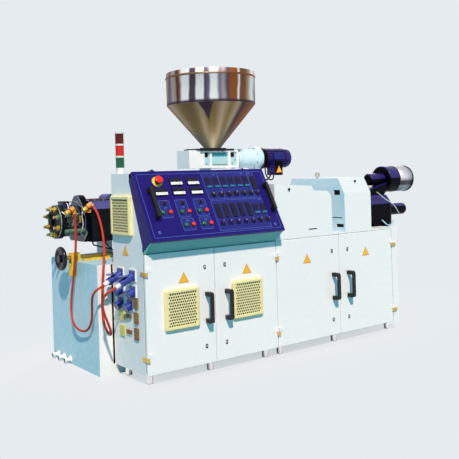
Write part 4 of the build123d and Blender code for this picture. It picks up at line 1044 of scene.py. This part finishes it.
# %% Heater bands with their clamps and terminal box
band_left = -1332
band_right = -1220
band_pitch = 37.5
band_profile = [(89, band_left)]
bands = Shape(axis_frame)
for band in range(3):
    start = band_left + band * band_pitch
    band_profile += [(104, start), (108, start + 3), (108, start + 33), (104, start + 36),
                     (101, start + 37.4)]
    middle = start + 18
    bands.block((-118, -9, middle - 9), (-104, 40, middle + 9), gold if band == 2 else stain_and_glint_steel)
    bands.block((-122, 4, middle - 5), (-98, 12, middle + 5), gold)
bands.turned(band_profile + [(89, band_right)], stain_and_glint_steel, segments=64)
bands.block((-46, 86, band_left), (46, 128, band_left + 44), collar_paint)
bands.block((-48, 128, band_left - 1), (48, 143, band_left + 45), black_plastic)
bands.piece("band_heaters", "frame", "brass_plated", replaces=["heater_bands"], bevel=1.0)

# %% Collar with a rounded crown
collar_left = -1214
collar_right = -1165
crown_radius = 78
crown = [(crown_radius * cos(radians(step)), 104 + crown_radius * sin(radians(step)))
         for step in range(30, 151, 12)]
collar_outline = [(-110, -147), (110, -147), (150, -110), (150, 30), (122, 84), *crown, (-122, 84),
                  (-150, 30), (-150, -110)]


def drawn_in(outline, share):
    """A smaller copy of the collar's outline."""
    return [(x * share, y * share + 1) for x, y in outline]


collar = Shape(axis_frame)
# the collar's body takes the near black painted shade; its face carries the navy
collar.plate(collar_outline, collar_left, collar_right, black_shade_paint)
collar.plate(drawn_in(collar_outline, 0.975), collar_left - 0.8, collar_left + 1, collar_paint)
collar.ring(collar_outline, drawn_in(collar_outline, 0.97), collar_left - 1.2, collar_left + 1, zinc)
collar.piece("crowned_collar", "frame", "blue_paint", replaces=["barrel_collar"], bevel=1.5)

# %% Shroud with its raised cover and rail
shroud_right = 230
shroud = Shape(axis_frame)
shroud.plate([(-145, -150), (145, -150), (145, 81), (85, 141), (-85, 141), (-145, 81)], collar_right,
             shroud_right, shroud_paint)
# the upper chamfers take the lighter navy as a painted highlight over the near black sides
for side in (-1, 1):
    shroud.add([(side * 145.6, 81, collar_right + 3), (side * 85.6, 141, collar_right + 3),
                (side * 85.6, 141, shroud_right - 3), (side * 145.6, 81, shroud_right - 3)], [(0, 1, 2, 3)],
               highlight_navy_paint)
    rail = [(side * 92, 146, rail_x) for rail_x in (collar_right + 6, -1000, -800)]
    shroud.tube(rail, 4, rail_paint)
for clamp_x in (-1120, -1050, -960):
    shroud.block((-99, 136, clamp_x), (-86, 152, clamp_x + 9), zinc)
cover_frame = front_seat(0, 0, barrel_axis)
cover = [(-1008, 141), (-1005, 158), (-996, 171), (-980, 179), (-962, 181), (-180, 181), (-180, 141)]
shroud.plate(cover, -60, 60, highlight_navy_paint, cover_frame)
shroud.plate(cover, -61, -60, shroud_paint, cover_frame)
shroud.piece("shroud_shell", "frame", "black_paint", replaces=["barrel_shroud"], bevel=1.0)

# %% Leads, coil and connector collars at the barrel
leads = [
    ([(-1310, -46, 1150), (-1318, -90, 1140), (-1330, -128, 1110), (-1340, -160, 1092)], 3.5, dial_white),
    ([(-1300, -46, 1140), (-1290, -110, 1128), (-1270, -140, 1096), (-1262, -130, 1040)], 3.0, black_plastic),
    ([(-1290, -46, 1156), (-1262, -90, 1160), (-1236, -110, 1130), (-1226, -150, 1108)], 3.5, pale_green),
    ([(-1214, -110, 1120), (-1230, -128, 1060), (-1226, -132, 1000), (-1240, -128, 940)], 3.0, dial_white),
    ([(-1345, -100, 1050), (-1352, -128, 1066), (-1362, -134, 1080), (-1372, -110, 1092)], 5.0, dial_white),
    ([(-1330, -90, 950), (-1290, -128, 944), (-1250, -132, 950), (-1220, -120, 962)], 6.0, pale_green),
]
for route, radius, finish in leads:
    fittings.tube(route, radius, finish, machine)
coil_turns = [pi / 4 * step for step in range(25)]
coil = [(-1236 + 22 * cos(turn), -158 - 0.5 * step, 942 + 26 * sin(turn))
        for step, turn in enumerate(coil_turns)]
fittings.tube(coil, 3.0, pale_green, machine, steps=3)
sleeves = [((-1364, -170, 1082), (-1310, -170, 1116)), ((-1236, -172, 1096), (-1186, -172, 1138))]
for sleeve_near, sleeve_far in sleeves:
    toward = (Vector(sleeve_far) - Vector(sleeve_near)).normalized()
    sleeve = local_frame(sleeve_near, toward.cross((0, 1, 0)), toward)
    fittings.turned([(12, -6), (19.5, -5), (20.5, 0), (20.5, 12), (18.5, 14)], gold, sleeve)
    fittings.turned([(18.5, 26), (20, 27), (20, 33), (18.5, 34)], black_plastic, sleeve)
fittings.piece("barrel_fittings", "frame", "steel", bevel=0.6)

# %% [markdown]
# ## Feeder
# The feeder box keeps its CAD pockets, which get painted shade: pale blue at their
# backs and dark painted shadow under their tops. Its coupling is a turned part with a
# broad disc, and the geared motor behind it has a black end bell, a ribbed indigo body
# and a terminal box with a bare triangle.

# %% Paint shade into the feeder's pockets
pocket_face = front_seat(0, -77, 0)
pocket_low = 1391
pocket_high = 1503
pocket_shading = Shape(pocket_face)
for left, right in ((-142, -89), (-71, 95), (117, 183)):
    pocket_shading.block((left + 1, pocket_low, 0.3), (right - 1, pocket_high, 1.5), shade_and_cable_blue)
# dark painted shadows under the tops of the side pockets, and a teal one under the window's lintel
pocket_shading.block((-136, 1462, 1.5), (-104, 1500, 3), dark_steel)
pocket_shading.block((124, 1462, 1.5), (160, 1500, 3), dark_steel)
pocket_shading.block((-66, 1468, 1.5), (90, 1498, 3), lintel_shadow_teal)
pocket_shading.block((-66, 1400, 1.5), (90, 1406, 5), zinc)
for bolt_x, bolt_z in ((-120, 1410), (140, 1412), (170, 1440)):
    pocket_shading.turned([(6, 1.5), (6, 6), (4, 7), (0, 7)], zinc, moved(pocket_face, bolt_x, bolt_z), segments=12)
pocket_shading.piece("feeder_pocket_shading", "frame", "white_paint")

# %% Make the feeder's coupling and motor
feeder_axis = 1451
disc_right = 472
feeder_frame = along_x(0, feeder_axis)
coupling = Shape(feeder_frame)
coupling.turned([(0, 199.2), (84, 199.2), (84, 212), (78, 216), (62, 218), (62, 262), (72, 264), (80, 270),
                 (80, 392), (84, 396), (84, 408), (94, 412), (98, 416), (98, 468), (95, disc_right),
                 (0, disc_right)], shade_paint, segments=64)
# a pale blue ring in the coupling's recessed neck as painted shade
coupling.turned([(70, 219), (76, 224), (70, 229)], shade_and_cable_blue, segments=48)
for bolt_x, bolt_y in circle(89, 8, start=pi / 8):
    coupling.turned([(6, 405), (6, 409), (4, 411)], zinc, moved(feeder_frame, bolt_x, bolt_y), segments=10)
coupling.piece("feeder_spool", "frame", "white_paint", replaces=["feeder_coupling"], bevel=1.0)

rib_count = 24
ribs = [(radius, 2 * pi * (rib + turn) / rib_count) for rib in range(rib_count)
        for radius, turn in ((77, -0.30), (86, -0.18), (86, 0.18), (77, 0.30))]
motor = Shape(feeder_frame)
# the end bell is near black, and the terminal box's front plate takes the near black painted shade
motor.turned([(0, 472.2), (80, 472.2), (90, 478), (92, 492), (92, 518), (84, 524), (0, 524)], black_shade_paint,
             segments=48)
motor.turned([(0, 740), (85, 740), (85, 780), (80, 795), (64, 805), (0, 807)], motor_paint, segments=48)
motor.plate([(radius * cos(turn), radius * sin(turn)) for radius, turn in ribs], 524, 740, motor_paint)
motor.block((-92, -14, 588), (-70, 40, 700), field_blue)
motor.block((-135, -148, 560), (-20, -30, 632), motor_paint)
motor.block((-139, -150, 556), (-135, -28, 636), black_shade_paint)
box_face = front_seat(596, -139, feeder_axis - 128)
motor.plate([(-34, 0), (34, 0), (0, 62)], 0.1, 1, sign_amber, box_face)
motor.plate([(-25, 5), (25, 5), (0, 50)], 1, 1.5, sign_yellow, box_face)
motor.tube([(560, -80, 1330), (520, -100, 1288), (480, -100, 1264), (436, -90, 1290), (430, -80, 1340),
            (470, -84, 1390), (500, -70, 1420)], 7, black_plastic, machine)
motor.tube([(560, -110, 1310), (540, -120, 1272), (500, -122, 1266), (470, -112, 1310), (480, -90, 1372)], 6,
           black_plastic, machine)
motor.piece("feeder_drive", "frame", "blue_paint", replaces=["feeder_motor"], bevel=0.8)

# %% [markdown]
# ## Drive end
# The guard's pockets and the hood's slot get painted shade inside, the blower's filter
# is a polished drum with painted reflections between two dark rims, and thin tubes
# cross the motor's side. The left base has its three white pipe stubs here too, and a
# painted shadow in the gap beside its front plate.

# %% Dress the drive end
guard_face = side_seat(632, 0, 0)
details = Shape(machine)
# painted shade in dark steel at the backs of the guard's pockets
pocket_shadows = ((-811, -745, 1133, 1171), (-826, -720, 951, 957), (-841, -765, 881, 905))
for low_y, high_y, low_z, high_z in pocket_shadows:
    details.block((-high_y, low_z, -5.8), (-low_y, high_z, -4.6), dark_steel, guard_face)
# painted shade inside the hood's slot
details.block((248, 889.6, -5.5), (328, 896.4, -0.6), dark_steel, front_seat(0, door_plane, 0))
details.tube([(1191, -700, 1134), (1290, -702, 1071), (1391, -700, 1023), (1480, -690, 940)], 4, dial_white)
details.tube([(1233, -712, 896), (1282, -722, 853), (1333, -722, 852), (1374, -716, 887)], 6, shade_and_cable_blue)
for knob_place in ((57, door_plane, 1197), (802, -812, 1237)):
    details.turned([(9, 0.2), (9, 8), (6, 12), (0, 12)], dark_steel, front_seat(*knob_place), segments=16)
details.block((-80, 832.2, 2.5), (1160, 835.6, 8), white_paint, front_seat(0, -846, 0))
# a dark strip on the left base's front beside the cabinet: painted shadow of the gap between them
details.block((-1172, 72, 0.1), (-1158.5, 738, 0.8), dark_steel, front_seat(0, -425, 0))
for stub_y in (250, 145, 40):
    stub = local_frame((-1273, stub_y, 30), (0, 1, 0), (-1, 0, 0))
    details.turned([(24, 0.1), (24, 6), (15, 8), (15, 30), (19, 32), (19, 46), (13, 46)], white_paint, stub,
                   segments=20)
    details.turned([(11, 46.1), (11, 46.4), (0, 46.4)], dark_steel, stub, segments=20)
details.piece("drive_details", "frame", "black_plastic")

# %% A filter drum with the floor's reflection painted on in bands
blower_axis = 1238
drum_radius = 112
rim_radius = 116
drum_left = 1567.2
# painted reflections in horizontal bands by height, from the dark underside up to the bright hall
drum_reflection_bands = [(0.0, plum), (0.10, silver), (0.23, silver), (0.27, night), (0.40, night), (0.45, silver),
                (0.55, (0.72, 0.70, 0.76)), (1.0, silver)]
filter_reflection_metal, tree, surface = shader("filter_reflection_metal")
height = node(tree, "SeparateXYZ", {0: object_place(tree)}).outputs["Z"]
rise = node(tree, "MapRange", {"Value": height, "From Min": (blower_axis - rim_radius) * mm,
                               "From Max": (blower_axis + rim_radius) * mm}).outputs["Result"]
feed(tree, surface, {"Base Color": ramp(tree, drum_reflection_bands, rise), "Roughness": 0.4, "Metallic": 0.3})
drum = Shape(along_x(-526, blower_axis))
drum.turned([(0, drum_left), (drum_radius, drum_left), (drum_radius, 1744), (0, 1744)], filter_reflection_metal,
            segments=64)
drum.turned([(drum_radius, 1568), (rim_radius, 1568), (rim_radius, 1576), (drum_radius, 1576)], dark_steel,
            segments=64)
drum.turned([(111, 1742), (rim_radius, 1744), (rim_radius, 1754), (110, 1760), (0, 1760)], dark_steel,
            segments=64)
drum.piece("filter_drum", "frame", "stainless", replaces=["blower_filter"])

# %% [markdown]
# ## Signal tower
# The tower is a stack of lenses between white rings: dark red on top, red, then green,
# on a white foot. Each lens is a ribbed cylinder, because the ribs spread the light.

# %% Make the signal tower
tower_low, tower_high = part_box("signal_tower")
tower_foot = tower_low.z / mm
lens_radius = 29
lens_ribs = 10
ring_height = 11
foot_height = 40
stack_step = (tower_high.z / mm - tower_foot - foot_height) / 3
dull_red = paint("dull_red", (0.14, 0.010, 0.006), (0.09, 0.008, 0.006), roughness=0.25, gloss=0.25)
tower = Shape(moved(machine, (tower_low.x + tower_high.x) / 2 / mm, (tower_low.y + tower_high.y) / 2 / mm))


def lens(low, high, finish):
    """A lens with fine ribs between two rings."""
    profile = [(lens_radius, low)]
    for rib in range(lens_ribs):
        height = low + (high - low) * (rib + 0.5) / lens_ribs
        profile += [(lens_radius - 1.5, height - 2), (lens_radius, height)]
    tower.turned(profile + [(lens_radius, high)], finish, segments=32)


def tower_ring(low, high):
    tower.turned([(lens_radius + 1, low), (lens_radius + 1, high)], dial_white, segments=32)


for level_index, finish in enumerate((green_button, red_button, dull_red)):
    low = tower_foot + foot_height + level_index * stack_step
    high = low + stack_step - ring_height - 1
    lens(low, high, finish)
    tower_ring(high, high + ring_height)
tower_ring(tower_foot, tower_foot + foot_height)
tower.piece("signal_lenses", "frame", "red_plastic", replaces=["signal_tower"])
